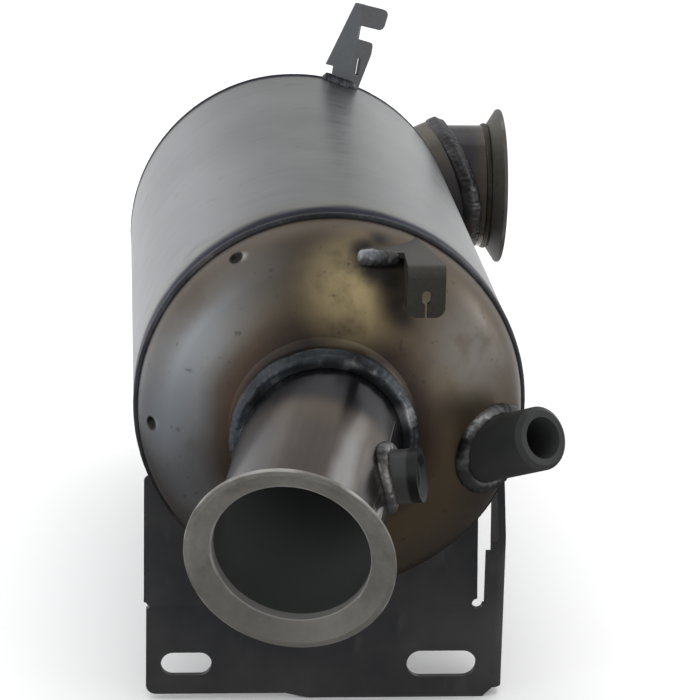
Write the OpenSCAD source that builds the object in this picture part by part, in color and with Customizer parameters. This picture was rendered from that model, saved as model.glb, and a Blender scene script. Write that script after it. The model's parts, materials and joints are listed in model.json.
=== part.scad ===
// Diesel particulate filter: a round steel canister around a ceramic filter block, with a flanged
// outlet pipe, a flanged side inlet, two sensor fittings, two small brackets and a bolt-on foot bracket.
// Millimetres, +Z up. The origin lies on the foot bracket's bolt face, midway between its two slots.
// +Y runs back along the canister, from its outlet end to its inlet end.

/* [Canister] */
// Outside diameter of the shell
shell_d = 156; // [146:1:170]
// Sheet thickness of the shell
shell_wall = 1.5; // [1:0.1:2.5]
// Length of the shell between its two seams
shell_len = 276; // [240:1:320]
// Height of the canister's axis above the bolt slots
axis_height = 117.6; // [113:0.1:124]
// Sideways offset of the canister's axis from the middle of the slots
axis_offset = 3; // [0:0.5:5]
// How far the outlet seam stands ahead of the bolt face
seam_ahead = 15; // [11:0.5:22]
// Room left all round between parts that slide together
slip = 0.15; // [0.1:0.05:0.3]

/* [End caps] */
// Sheet thickness of both end caps
cap_wall = 1.5; // [1:0.1:2.5]
// How far the caps reach into the shell
cap_lap = 12; // [8:1:18]
// Straight stretch of the outlet cap outside its seam
outlet_step = 1; // [0.5:0.5:4]
// Depth of the outlet cap's dome
outlet_dome = 38; // [35:1:44]
// Corner radius of the outlet cap's dome
outlet_knuckle = 25; // [20:1:28]
// Straight stretch of the inlet cap outside its seam
inlet_step = 3; // [1:0.5:6]
// How much shallower than a half ball the inlet cap's dome is
inlet_flat = 1.4; // [1:0.2:6]
// Corner radius of the inlet cap's dome
inlet_knuckle = 55; // [48:1:58]
// Section radius of the seam welds
seam_bead = 2.2; // [1.6:0.1:2.8]
// How far the seam welds stand proud of the shell
seam_proud = 0.3; // [0:0.1:0.8]
// Diameter of the two locating dimples pressed into the outlet cap
dimple_d = 6; // [4:0.5:8]
// Depth of the dimples
dimple_depth = 1.2; // [0.6:0.1:1.5]
// How far the upper dimple lies within the side of the shell
upper_dimple_in = 4.2; // [4:0.1:10]
// Place of the upper dimple round the dome, up from the right
upper_dimple_turn = 121.5; // [100:0.5:140]
// How far the lower dimple lies within the side of the shell
lower_dimple_in = 6.7; // [4:0.1:10]
// Place of the lower dimple round the dome, up from the right
lower_dimple_turn = 182.6; // [160:0.2:210]

/* [Filter block] */
// Thickness of the support mat between the filter block and the shell
mat_t = 6.2; // [4:0.2:10]
// Distance from each seam to the filter block
block_setback = 23; // [20:1:40]
// Side of one square filter segment
segment_side = 34.3; // [30:0.1:38]
// Width of the cement joints and thickness of the cement skin
cement = 1; // [0.6:0.1:1.6]
// How much shorter the support mat is than the block, at each end
mat_setback = 5; // [2:1:12]

/* [Outlet pipe] */
// Outside diameter of the outlet pipe
outlet_d = 61.5; // [56:0.5:64]
// Wall of both pipes
pipe_wall = 1.5; // [1:0.1:2]
// Length of the outlet pipe from the cap's collar to the flange face
outlet_len = 82; // [72:0.5:90]
// How far the outlet pipe reaches back through the collar
outlet_lap = 14; // [12:1:18]
// Swing of the outlet pipe to the right, from straight ahead
outlet_swing = -12.5; // [-16:0.5:-6]
// Rise of the outlet pipe above level
outlet_rise = -15.2; // [-18:0.2:-8]
// Swing of the collar's centre on the dome, to the right
collar_swing = -2.2; // [-4:0.1:0]
// Rise of the collar's centre on the dome
collar_rise = 0.2; // [-2:0.2:2]
// Height of the collar above the dome
collar_height = 6.5; // [5:0.5:9]
// Wall of the collar where it is thinnest
collar_wall = 1.2; // [1:0.1:2]
// Fillet radius between the dome and the collar
collar_fillet = 6; // [4:0.5:8]
// Section radius of the weld round the outlet pipe
outlet_bead = 4.6; // [4:0.1:5.2]
// How far that weld's middle lies ahead of the collar's rim
outlet_bead_ahead = 3; // [2:0.1:3.4]
// How far that weld's middle lies within the collar's outside
outlet_bead_in = 2.4; // [1.8:0.1:2.8]

/* [Flanges] */
// Outside diameter of the outlet flange
outlet_flange_d = 78; // [74:0.5:86]
// Outside diameter of the inlet flange
inlet_flange_d = 76; // [72:0.5:82]
// Length of both flanges along their pipes
flange_len = 8; // [7:0.5:12]
// Thickness of the flanges at the rim
flange_rim = 2.4; // [1.6:0.1:3]
// Length of the cone behind the rim
flange_cone = 4.2; // [3:0.1:4.6]
// Depth of the flanges' dished front
flange_dish = 4.3; // [2:0.1:4.6]
// Width of the flat ring round the dished front
flange_land = 2.2; // [1:0.1:3]
// Section radius of the butt welds between pipes and flanges
flange_bead = 1.5; // [1:0.1:2]

/* [Inlet] */
// Outside diameter of the inlet pipe
inlet_d = 60; // [54:0.5:62]
// Distance of the inlet's axis behind the inlet seam
inlet_back = 36; // [34:0.5:42]
// Height of the inlet's axis above the canister's axis
inlet_high = 15.3; // [8:0.1:20]
// Distance from the side of the shell to the inlet flange's face
inlet_reach = 27; // [24:0.5:42]
// Distance from the side of the shell to the trimmed rim of the inlet collar
inlet_collar = 8; // [6:0.5:10]
// Slope of the collar's rim, in towards the rear
inlet_slope = 4; // [2:0.5:8]
// Outside diameter of the neck behind the collar's socket
inlet_neck_d = 57; // [50:0.5:58]
// Depth of the socket's start within the side of the shell
inlet_socket = 10; // [8:0.5:12]
// Length of the cone between the neck and the socket
inlet_cone = 7; // [4:0.5:9]
// Size of the weld round the inlet pipe
inlet_bead = 3; // [2.4:0.1:4]

/* [Sensor fittings] */
// Outside diameter of the long sensor tube on the outlet cap
tube_d = 25; // [22:0.5:28]
// Bore of the sensor tube, tapped M18 x 1.5
tube_bore = 16.4; // [14:0.1:18]
// Length of the sensor tube from the dome to its end
tube_len = 32; // [30:0.5:48]
// Chamfer round the sensor tube's end
tube_chamfer = 1.8; // [1:0.1:3.2]
// How far the sensor tube's foot lies within the side of the shell
tube_in = 14.2; // [11:0.1:18]
// Place of the tube's foot round the dome, up from the right
tube_turn = -10.7; // [-24:0.1:-4]
// Swing of the sensor tube to the right
tube_swing = 34.2; // [24:0.2:40]
// Rise of the sensor tube
tube_rise = 23.2; // [20:0.2:34]
// Size of the weld round the sensor tube
tube_bead = 4.2; // [2.4:0.1:4.6]
// Outside diameter of the boss on the outlet pipe
boss_d = 20.5; // [18:0.5:23]
// Bore of the boss, tapped M14 x 1.5
boss_bore = 12.5; // [10:0.1:14]
// Countersink of the boss at its mouth
boss_mouth = 16.5; // [15:0.5:17]
// Height of the boss above the pipe
boss_len = 11.8; // [10:0.1:20]
// Distance of the boss along the outlet pipe from the collar
boss_along = 32; // [24:0.5:38]
// Turn of the boss round the pipe, up from the right
boss_turn = 10; // [0:1:24]
// Section radius of the weld round the boss
boss_bead = 2.4; // [1.8:0.1:3]

/* [Foot bracket] */
// Sheet thickness of the foot bracket
foot_sheet = 3; // [2:0.5:4]
// Distance between the two slots
slot_pitch = 105.8; // [98:0.2:110]
// Length of the left slot
left_slot = 21; // [14:0.5:24]
// Width of the left slot
left_slot_w = 10; // [8:0.5:11]
// Length of the right slot
right_slot = 29; // [16:0.5:32]
// Width of the right slot
right_slot_w = 11.5; // [8:0.5:12]
// How far the right slot's middle lies below the bolt line
right_slot_drop = 0.6; // [0:0.1:1]
// Bolt line to the left end of the bracket
foot_left = 69.5; // [68:0.5:76]
// Bolt line to the bracket's lower edge on the left
foot_drop = 13.2; // [10:0.2:18]
// Step down in the lower edge on the right
foot_step = 2.2; // [0:0.2:5]
// Place of the step from the middle of the slots
foot_step_at = -7; // [-16:1:10]
// Length of the step's slope
foot_step_run = 10; // [6:1:16]
// Radius of the lower left corner and size of the lower right one
foot_corner = 4; // [2:0.5:5]
// Bolt line up to the bend
foot_bend = 25.8; // [20:0.2:29]
// Lean of the tongue back from the bolt face
foot_lean = 12; // [4:1:18]
// How far the tongue stands out past the left end
tongue_out = 1; // [0.5:0.5:2]
// Right edge of the tongue from the middle of the slots
tongue_right = 67; // [60:0.5:68]
// Radius of the tongue's upper left corner
tongue_corner = 2.5; // [1:0.5:5]
// Radius of the relief hole at the foot of the gap beside the tongue
relief = 2.2; // [1.8:0.1:2.6]
// Radius of the notch at the left end of the bend
bend_notch = 1.5; // [0.8:0.1:2]
// Top of the tongue's left horn above the bolt line
horn_top = 78.4; // [72:0.2:84]
// Gap between the tongue and the wing
wing_gap = 3; // [2:0.5:3.5]
// Outside bend radius of the wing
wing_bend = 4; // [3.5:0.5:4.5]
// How far the wing's outside lies within the side of the shell
wing_bite = 2.6; // [2:0.2:4]
// Height above the bolt line at which the wing's front edge starts to slope back
wing_slope_at = 46; // [40:1:60]
// How far the wing's front edge slopes back at the shell
wing_slope = 25; // [8:1:27]
// Depth of the wing at its lower edge
wing_low = 22; // [16:1:30]
// Depth of the wing at the shell
wing_high = 38; // [34:1:60]
// Chamfer at the wing's lower back corner
wing_corner = 6; // [2:1:10]
// Shoulder on the strip between the tongue and the wing
wing_shoulder = 2.5; // [1:0.5:3]
// How far the wing stops short of the shell, for its weld
wing_short = 2; // [1:0.5:3]
// Size of the welds that hold the bracket to the shell
foot_bead = 2.6; // [2:0.1:3.4]
// Length of the two stitch welds along the tongue
stitch = 38; // [20:1:42]
// Left end of the left stitch from the middle of the slots
left_stitch = -54; // [-58:1:-50]
// Left end of the right stitch from the middle of the slots
right_stitch = 16; // [8:1:20]

/* [Small brackets] */
// Sheet thickness of the cap bracket and the rear bracket
clip_sheet = 2.2; // [1.6:0.1:2.6]
// How far the cap bracket's shelf lies below the top of the shell
shelf_drop = 10.5; // [8:0.5:13]
// Left edge of the shelf from the canister's axis
shelf_left = 25.6; // [20:0.2:28]
// Width of the shelf and its tab
shelf_w = 14.5; // [12:0.5:17]
// How far the tab stands ahead of the outlet seam
shelf_reach = 44; // [38:0.5:52]
// Rise of the shelf from the tab back to the dome
shelf_tilt = 2.5; // [0:0.5:8]
// How far the shelf stops ahead of the outlet seam
shelf_clear = 3.2; // [3:0.2:6]
// Height of the tab
tab_h = 20; // [16:0.5:24]
// Radius of the tab's lower corners
tab_corner = 4; // [2:0.5:5]
// Width of the tab's hole
tab_hole = 3.4; // [2.4:0.1:4.5]
// Height of the tab's hole
tab_hole_h = 5.4; // [5:0.1:7]
// Height of the hole's middle above the tab's lower edge
tab_hole_up = 8; // [6:0.5:9]
// Width of the slit below the hole
tab_slit = 1; // [0.6:0.1:1.6]
// Height of the wall on the left of the tab and the shelf
tab_side = 18; // [12:0.5:19]
// Width of the welded foot to the left of the shelf
shelf_foot = 16; // [10:0.5:18]
// How far the welded foot reaches ahead of the dome
shelf_foot_ahead = 4.5; // [4:0.5:10]
// Radius of the welded foot's front corner
shelf_foot_corner = 2.5; // [1:0.5:4]
// How far the shelf's right edge runs in towards its rear
shelf_taper = 8; // [0:0.5:10]
// Section radius of the weld under the welded foot
shelf_bead = 3.4; // [2:0.1:3.6]
// Place of the rear bracket round the shell, right from the top
clip_turn = 19.2; // [5:0.1:30]
// Distance of the rear bracket's fold ahead of the inlet seam
clip_setback = 8; // [6:0.5:16]
// Height of the rear bracket above the shell
clip_h = 40; // [34:0.5:48]
// Lean of the rear bracket's fold to the left
clip_lean = 11; // [0:0.5:16]
// Slope of the right plate's tabs, down to the right
clip_slope = 9; // [0:0.5:12]
// Angle of the rear bracket's left plate
clip_left = 28; // [15:1:40]
// Width of the left plate at its foot
clip_foot = 10; // [7:0.5:10]
// Width of the left plate at its widest
clip_wide = 14; // [11:0.5:15]
// Height of the left plate's step to its widest
clip_wide_at = 8; // [4:0.5:10]
// Width of the left plate at its top
clip_top = 4; // [3:0.5:7]
// Angle of the rear bracket's right plate
clip_right = 32; // [15:1:40]
// Width of the right plate's leg at its foot
leg_foot = 4.5; // [4.4:0.1:8]
// Width of the right plate's leg above its slanted edge
leg_wide = 10; // [9:0.5:14]
// Height at which the slanted edge ends
leg_wide_at = 16; // [14.5:0.5:19]
// Height of the right plate's leg
leg_top = 23.5; // [20:0.5:26]
// Radius of the leg's upper corner
leg_corner = 2; // [1:0.5:3]
// Distance of the leg's window from the fold
window_out = 2.4; // [2.2:0.1:3]
// Width of the leg's window
window_w = 2; // [1:0.2:2.4]
// Height of the window's lower edge above the shell
window_at = 6; // [5:0.5:8]
// Height of the leg's window
window_h = 8; // [5:0.5:10]
// Length of the right plate's upper tab
finger_len = 15; // [12:0.5:18]
// Height of the right plate's upper tab
finger_h = 10; // [8:0.5:12]
// Corner radius of the upper tab
finger_corner = 3; // [1:0.5:3.5]
// Section radius of the rear bracket's weld
clip_bead = 2.3; // [1.8:0.1:2.8]

/* [Hidden] */
$fn = 120;

// Overrun of a cutting shape past the face that it cuts
over = 1;
// Segments round a weld bead or a dimple
bead_fn = 48;
// Angles at which revolved shapes start, chosen so that no two start lines cross
outlet_start = 250;
inlet_start = 180;
ring_start = 130;
shell_r = shell_d / 2;
shell_ir = shell_r - shell_wall;
cap_r = shell_ir - slip;
inlet_dome = cap_r - inlet_flat;
mat_r = shell_ir - slip;
block_r = mat_r - mat_t - slip;
block_len = shell_len - 2 * block_setback;
outlet_r = outlet_d / 2;
inlet_r = inlet_d / 2;

// Radius of the crown that closes a dome of radius r, depth h and knuckle radius k
function crown(r, h, k) = (pow(r - k, 2) + h * h - k * k) / (2 * (h - k));
// Angle from the axis at which the crown meets the knuckle
function crown_angle(r, h, k) = atan2(r - k, crown(r, h, k) - h);
// Unit vector of a fitting that swings right and rises from straight ahead
function heading(swing, rise) = [sin(swing) * cos(rise), -cos(swing) * cos(rise), sin(rise)];

// The outlet dome: its crown, the radius where the knuckle starts, and its surface at a radius
outlet_crown = crown(cap_r, outlet_dome, outlet_knuckle);
outlet_knuckle_at = cap_r - outlet_knuckle;
outlet_crown_edge = outlet_crown * sin(crown_angle(cap_r, outlet_dome, outlet_knuckle));
crown_centre = -outlet_step - outlet_dome + outlet_crown;
function dome_height(r) = r < outlet_crown_edge
    ? outlet_dome - outlet_crown + sqrt(pow(outlet_crown, 2) - r * r)
    : sqrt(pow(outlet_knuckle, 2) - pow(r - outlet_knuckle_at, 2));
function dome_slope(r) = r < outlet_crown_edge
    ? asin(r / outlet_crown)
    : asin((r - outlet_knuckle_at) / outlet_knuckle);

// The pipe leans in its collar, so the hole is long that way; the rim is measured from the crown's centre
collar_lean = acos(heading(collar_swing, collar_rise) * heading(outlet_swing, outlet_rise));
collar_r = (outlet_r + slip) / cos(collar_lean) + collar_wall;
collar_rim = outlet_crown + collar_height;
collar_point = [0, crown_centre, 0] + collar_rim * heading(collar_swing, collar_rise);
outlet_pipe_end = outlet_len - flange_len;

// Places along the inlet's axis, measured from the canister's axis
inlet_face = shell_r + inlet_reach;
inlet_pipe_end = inlet_face - flange_len;
inlet_socket_at = shell_r - inlet_socket;
inlet_rim_r = shell_r + inlet_collar;
inlet_collar_r = inlet_r + slip + cap_wall;
inlet_neck_r = inlet_neck_d / 2;
seam_ring = shell_r + seam_proud - seam_bead;

// The sensor tube's foot on the dome
tube_out = shell_r - tube_in;
tube_foot = [tube_out * cos(tube_turn), -outlet_step - dome_height(tube_out), tube_out * sin(tube_turn)];
// The sensor tube runs on this far below its foot before the dome trims it
tube_root = 0.7 * tube_len;

// The foot bracket's right side follows the shell, because its wing is welded there
wing_x = axis_offset + shell_r - wing_bite;
wing_flat = wing_x - wing_bend;
wing_meets = axis_height - sqrt(pow(shell_r, 2) - pow(wing_x - axis_offset, 2));
wing_top = wing_meets - wing_short;
wing_bottom = foot_corner - foot_drop - foot_step;

shelf_z = shell_r - shelf_drop;
// Outside radius of the bend from the shelf to the tab
shelf_bend = 2 * clip_sheet;
shelf_back = shelf_reach - shelf_clear;
// The rear bracket's plates run on this far below the shell's top before it trims them
clip_root = 2 * clip_sheet;
// The welded foot starts this far back from the tab, just ahead of the dome
shelf_foot_at = shelf_reach - outlet_step - dome_height(shelf_z) - shelf_foot_ahead;

// Frames

// Moves a part from the canister's frame, whose origin is on the axis at the outlet seam
module on_canister() translate([axis_offset, -seam_ahead, axis_height]) children();

// Turns +Z to a heading, with +X level and to the right
module aim(swing, rise) rotate([90 - rise, 0, swing]) children();

// Revolves a profile about the canister's axis, with its height running back, from the left
module turned_back() rotate([-90, 0, 0]) rotate([0, 0, inlet_start]) rotate_extrude() children();

// Revolves a profile about the canister's axis, with its height running ahead, from the lower left
module turned_ahead() rotate([90, 0, 0]) rotate([0, 0, outlet_start]) rotate_extrude() children();

// A place on the outlet dome, with +Z along its outward normal
module on_dome(out, turn) {
    rotate([90, 0, 0])
        rotate([0, 0, turn])
            translate([out, 0, outlet_step + dome_height(out)])
                rotate([0, dome_slope(out), 0])
                    children();
}

// The collar's rim, square to the dome
module collar_frame() translate([0, crown_centre, 0]) aim(collar_swing, collar_rise) children();

// The outlet pipe's axis, from the collar's rim
module outlet_frame() translate(collar_point) aim(outlet_swing, outlet_rise) children();

// The boss's axis, from the outlet pipe's axis outwards
module boss_frame() {
    outlet_frame()
        translate([0, 0, boss_along])
            rotate([0, 0, boss_turn])
                rotate([0, 90, 0])
                    children();
}

// The sensor tube's axis, from its foot
module tube_frame() translate(tube_foot) aim(tube_swing, tube_rise) children();

// The inlet's axis, from the canister's axis to the right
module inlet_frame() translate([0, shell_len + inlet_back, inlet_high]) rotate([0, 90, 0]) children();

// Plates: an outline in X and Z that is thick along +Y, and an outline in Y and Z thick along +X
module front_plate(thick) translate([0, thick, 0]) rotate([90, 0, 0]) linear_extrude(thick) children();
module side_plate(thick) rotate([90, 0, 90]) linear_extrude(thick) children();

// Shared shapes

// Half section of a domed head, solid from its rim up to its crown
module head_section(r, h, k) {
    rc = crown(r, h, k);
    angle = crown_angle(r, h, k);
    far = 2 * rc;
    intersection() {
        translate([0, h - rc]) circle(rc);
        polygon([[0, 0], [r - k, 0], [r - k + far * sin(angle), far * cos(angle)], [0, far]]);
    }
    intersection() {
        translate([r - k, 0]) circle(k);
        translate([r - k, 0]) square([k, k]);
    }
}

// Half section of a cap's outside or, with its wall taken off, of its inside
module cap_section(step, h, k, less) {
    translate([0, step]) head_section(cap_r - less, h - less, k - less);
    translate([0, -cap_lap - less]) square([cap_r - less, cap_lap + step + less]);
}

module outlet_cap_solid(less = 0) {
    turned_ahead() cap_section(outlet_step, outlet_dome, outlet_knuckle, less);
}

module inlet_cap_solid(less = 0) {
    translate([0, shell_len, 0]) turned_back() cap_section(inlet_step, inlet_dome, inlet_knuckle, less);
}

module shell_solid() rotate([-90, 0, 0]) cylinder(r = shell_r, h = shell_len);

module outlet_pipe_solid(r) {
    outlet_frame() translate([0, 0, -outlet_lap]) cylinder(r = r, h = outlet_lap + outlet_pipe_end);
}

// The drawn collar, with a fillet that runs out on the dome
module collar_solid() {
    sink = 0.2;
    fillet_x = collar_r + collar_fillet;
    fillet_z = sqrt(pow(outlet_crown + collar_fillet - sink, 2) - pow(fillet_x, 2));
    foot = 1 - (collar_fillet + over) / outlet_crown;
    collar_frame() rotate_extrude() difference() {
        polygon([[0, foot * fillet_z - over], [foot * fillet_x, foot * fillet_z], [fillet_x, fillet_z],
            [collar_r, fillet_z], [collar_r, collar_rim], [0, collar_rim]]);
        translate([fillet_x, fillet_z]) circle(collar_fillet);
    }
}

// A ring of weld bead about the local axis
module weld_ring(ring_r, bead) {
    rotate([0, 0, ring_start]) rotate_extrude() translate([ring_r, 0]) circle(bead, $fn = bead_fn);
}

// A straight run of weld bead with round ends, along +X from the origin
module weld_run(length, bead) {
    rotate([0, 90, 0]) cylinder(r = bead, h = length, $fn = bead_fn);
    sphere(bead, $fn = bead_fn);
    translate([length, 0, 0]) sphere(bead, $fn = bead_fn);
}

// A clamp flange: a hub as thick as its pipe, a cone, a flat rim and a dished front
module clamp_flange(pipe_r, flange_r) {
    bore_r = pipe_r - pipe_wall;
    hub = flange_len - flange_rim - flange_cone;
    rotate_extrude() polygon([[bore_r, 0], [pipe_r, 0], [pipe_r, hub], [flange_r, hub + flange_cone],
        [flange_r, flange_len], [flange_r - flange_land, flange_len], [bore_r, flange_len - flange_dish]]);
}

// The bead over the butt joint between a pipe and its flange
module butt_weld(pipe_r, flange_r) {
    difference() {
        weld_ring(pipe_r, flange_bead);
        cylinder(r = pipe_r, h = 4 * flange_bead, center = true);
        clamp_flange(pipe_r, flange_r);
    }
}

// A slot with round ends, along X
module slot(length, width) {
    run = length - width;
    square([run, width], center = true);
    for (end = [-1, 1]) translate([end * run / 2, 0]) circle(d = width);
}

// Canister

module canister_shell() {
    color("#b4b8b4") on_canister() rotate([-90, 0, 0]) difference() {
        cylinder(r = shell_r, h = shell_len);
        translate([0, 0, -over]) cylinder(r = shell_ir, h = shell_len + 2 * over);
    }
}

module dimple_places() {
    on_dome(shell_r - upper_dimple_in, upper_dimple_turn) children();
    on_dome(shell_r - lower_dimple_in, lower_dimple_turn) children();
}

// The ball that presses a dimple, as high over the dome as leaves the dimple's depth
module dimple_ball(more = 0) {
    ball_r = (pow(dimple_d / 2, 2) + pow(dimple_depth, 2)) / (2 * dimple_depth);
    translate([0, 0, ball_r - dimple_depth]) sphere(ball_r + more, $fn = bead_fn);
}

module outlet_end_cap() {
    color("#857a5e") on_canister() difference() {
        union() {
            outlet_cap_solid();
            collar_solid();
        }
        difference() {
            outlet_cap_solid(cap_wall);
            dimple_places() dimple_ball(cap_wall);
        }
        dimple_places() dimple_ball();
        outlet_pipe_solid(outlet_r + slip);
        tube_frame() cylinder(d = tube_bore, h = 2 * tube_root, center = true);
    }
}

// The inlet's neck and socket, about the inlet's axis, or their inside with the wall taken off
module inlet_collar_solid(less = 0) {
    far = 2 * inlet_face;
    inlet_frame() rotate_extrude() polygon([[0, 0], [inlet_neck_r - less, 0],
        [inlet_neck_r - less, inlet_socket_at - inlet_cone], [inlet_collar_r - less, inlet_socket_at],
        [inlet_collar_r - less, far], [0, far]]);
}

// A taper round the canister's axis that trims the inlet's collar and its weld
module inlet_trim(r) {
    long = 2 * inlet_dome;
    near_r = r + inlet_back * tan(inlet_slope);
    translate([0, shell_len, 0]) rotate([-90, 0, 0]) rotate([0, 0, inlet_start])
        cylinder(r1 = near_r, r2 = near_r - long * tan(inlet_slope), h = long);
}

module inlet_end_cap() {
    color("#8d8577") on_canister() difference() {
        union() {
            inlet_cap_solid();
            intersection() {
                inlet_collar_solid();
                inlet_trim(inlet_rim_r);
            }
        }
        inlet_cap_solid(cap_wall);
        inlet_collar_solid(cap_wall);
    }
}

module outlet_seam_ring() rotate([90, 0, 0]) weld_ring(seam_ring, seam_bead);

module outlet_seam_weld() {
    color("#4c5058") on_canister() difference() {
        outlet_seam_ring();
        shell_solid();
        outlet_cap_solid();
    }
}

module inlet_seam_weld() {
    color("#4c5058") on_canister() difference() {
        translate([0, shell_len, 0]) rotate([-90, 0, 0]) weld_ring(seam_ring, seam_bead);
        shell_solid();
        inlet_cap_solid();
        inlet_collar_solid();
    }
}

// Filter

// The square segments on their grid, trimmed to the round block
module segment_outlines() {
    pitch = segment_side + cement;
    half = ceil((block_r - cement) / pitch);
    intersection() {
        circle(block_r - cement);
        for (i = [-half:half - 1], j = [-half:half - 1])
            translate([(i + 0.5) * pitch, (j + 0.5) * pitch]) square(segment_side, center = true);
    }
}

module block_bar() {
    translate([0, block_setback, 0]) rotate([-90, 0, 0]) linear_extrude(block_len) children();
}

module filter_segments() {
    color("#55534f") on_canister() block_bar() segment_outlines();
}

module filter_cement() {
    color("#77746c") on_canister() block_bar() difference() {
        circle(block_r);
        segment_outlines();
    }
}

module support_mat() {
    mat_len = block_len - 2 * mat_setback;
    color("#c9c3b2") on_canister()
        translate([0, block_setback + mat_setback, 0]) rotate([-90, 0, 0]) linear_extrude(mat_len)
            difference() {
                circle(mat_r);
                circle(mat_r - mat_t);
            }
}

// Outlet

module outlet_pipe() {
    color("#8c8078") on_canister() difference() {
        outlet_pipe_solid(outlet_r);
        outlet_frame() translate([0, 0, -outlet_lap - over])
            cylinder(r = outlet_r - pipe_wall, h = outlet_lap + outlet_len);
        boss_frame() cylinder(d = boss_bore, h = outlet_d);
    }
}

module outlet_flange() {
    color("#98938a") on_canister() outlet_frame()
        translate([0, 0, outlet_pipe_end]) clamp_flange(outlet_r, outlet_flange_d / 2);
}

module outlet_collar_weld() {
    color("#4c5058") on_canister() difference() {
        collar_frame() translate([0, 0, collar_rim + outlet_bead_ahead])
            weld_ring(collar_r - outlet_bead_in, outlet_bead);
        collar_solid();
        outlet_cap_solid();
        outlet_pipe_solid(outlet_r);
    }
}

module outlet_flange_weld() {
    color("#4c5058") on_canister() outlet_frame()
        translate([0, 0, outlet_pipe_end]) butt_weld(outlet_r, outlet_flange_d / 2);
}

// Inlet

module inlet_pipe_solid(r) {
    inlet_frame() translate([0, 0, inlet_socket_at + slip])
        cylinder(r = r, h = inlet_pipe_end - inlet_socket_at - slip);
}

module inlet_pipe() {
    color("#6e625a") on_canister() difference() {
        inlet_pipe_solid(inlet_r);
        inlet_frame() cylinder(r = inlet_r - pipe_wall, h = inlet_face);
    }
}

module inlet_flange() {
    color("#7d7266") on_canister() inlet_frame()
        translate([0, 0, inlet_pipe_end]) clamp_flange(inlet_r, inlet_flange_d / 2);
}

// A band that follows the collar's rim round the pipe
module inlet_collar_weld() {
    color("#4c5058") on_canister() difference() {
        intersection() {
            inlet_frame() cylinder(r = inlet_r + inlet_bead, h = inlet_face);
            inlet_trim(inlet_rim_r + inlet_bead);
        }
        inlet_trim(inlet_rim_r - inlet_bead / 2);
        intersection() {
            inlet_collar_solid();
            inlet_trim(inlet_rim_r);
        }
        inlet_pipe_solid(inlet_r);
    }
}

module inlet_flange_weld() {
    color("#4c5058") on_canister() inlet_frame()
        translate([0, 0, inlet_pipe_end]) butt_weld(inlet_r, inlet_flange_d / 2);
}

// Sensor fittings

// The sensor tube's outside, before the dome trims its foot
module sensor_tube_solid() {
    tube_frame() rotate_extrude() polygon([[0, -tube_root], [tube_d / 2, -tube_root],
        [tube_d / 2, tube_len - tube_chamfer], [tube_d / 2 - tube_chamfer, tube_len], [0, tube_len]]);
}

module sensor_tube() {
    color("#2b2b2d") on_canister() difference() {
        sensor_tube_solid();
        outlet_cap_solid();
        tube_frame() cylinder(d = tube_bore, h = 4 * tube_len, center = true);
    }
}

// A band that follows the tube's foot over the dome
module sensor_tube_weld() {
    color("#5b5f63") on_canister() difference() {
        intersection() {
            tube_frame() cylinder(d = tube_d + 2 * tube_bead, h = 3 * tube_root, center = true);
            outlet_cap_solid(-tube_bead);
        }
        outlet_cap_solid();
        sensor_tube_solid();
        outlet_seam_ring();
        shell_solid();
    }
}

module sensor_boss_solid() boss_frame() cylinder(d = boss_d, h = outlet_r + boss_len);

module sensor_boss() {
    mouth_depth = (boss_mouth - boss_bore) / 2;
    color("#3a3b3e") on_canister() difference() {
        sensor_boss_solid();
        outlet_pipe_solid(outlet_r);
        boss_frame() {
            cylinder(d = boss_bore, h = outlet_d);
            translate([0, 0, outlet_r + boss_len - mouth_depth])
                cylinder(d1 = boss_bore, d2 = boss_mouth, h = mouth_depth);
        }
    }
}

module sensor_boss_weld() {
    saddle = outlet_r - sqrt(pow(outlet_r, 2) - pow(boss_d / 2, 2));
    color("#7a7d80") on_canister() difference() {
        boss_frame() translate([0, 0, outlet_r - saddle / 2]) weld_ring(boss_d / 2, boss_bead);
        outlet_pipe_solid(outlet_r);
        sensor_boss_solid();
    }
}

// Cap bracket

// The tab's outline, hung from its top left corner, with round lower corners, a hole and a slit
module tab_outline() {
    difference() {
        union() {
            translate([0, tab_corner - tab_h]) square([shelf_w, tab_h - tab_corner]);
            translate([tab_corner, -tab_h]) square([shelf_w - 2 * tab_corner, tab_h]);
            for (x = [tab_corner, shelf_w - tab_corner])
                translate([x, tab_corner - tab_h]) circle(tab_corner);
        }
        translate([shelf_w / 2, tab_hole_up - tab_h]) rotate(90) slot(tab_hole_h, tab_hole);
        translate([(shelf_w - tab_slit) / 2, -tab_h - over]) square([tab_slit, tab_hole_up + over]);
    }
}

// The cap bracket's frame: the upper left corner of its tab, with the shelf running back along +Y
module shelf_frame() translate([shelf_left, -shelf_reach, shelf_z]) rotate([shelf_tilt, 0, 0]) children();

// The shelf back to the dome, seen from above, with the welded foot on its left
module shelf_outline() {
    corner_x = shelf_foot_corner - shelf_foot;
    polygon([[0, shelf_bend], [shelf_w, shelf_bend], [shelf_w - shelf_taper, shelf_back],
        [-shelf_foot, shelf_back], [-shelf_foot, shelf_foot_at + shelf_foot_corner],
        [corner_x, shelf_foot_at + shelf_foot_corner], [corner_x, shelf_foot_at], [0, shelf_foot_at]]);
    translate([corner_x, shelf_foot_at + shelf_foot_corner]) circle(shelf_foot_corner);
}

module cap_bracket_solid() {
    shelf_frame() {
        translate([0, 0, -clip_sheet]) linear_extrude(clip_sheet) shelf_outline();
        // Quarter bend from the shelf down to the tab
        translate([0, shelf_bend, -shelf_bend]) side_plate(shelf_w) intersection() {
            difference() {
                circle(shelf_bend);
                circle(shelf_bend - clip_sheet);
            }
            translate([-shelf_bend, 0]) square(shelf_bend);
        }
        front_plate(clip_sheet) intersection() {
            tab_outline();
            translate([-over, -2 * tab_h]) square([shelf_w + 2 * over, 2 * tab_h - shelf_bend]);
        }
        // Side wall back to the dome
        translate([0, shelf_bend, -tab_side]) cube([clip_sheet, shelf_back - shelf_bend, tab_side - over]);
    }
}

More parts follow.
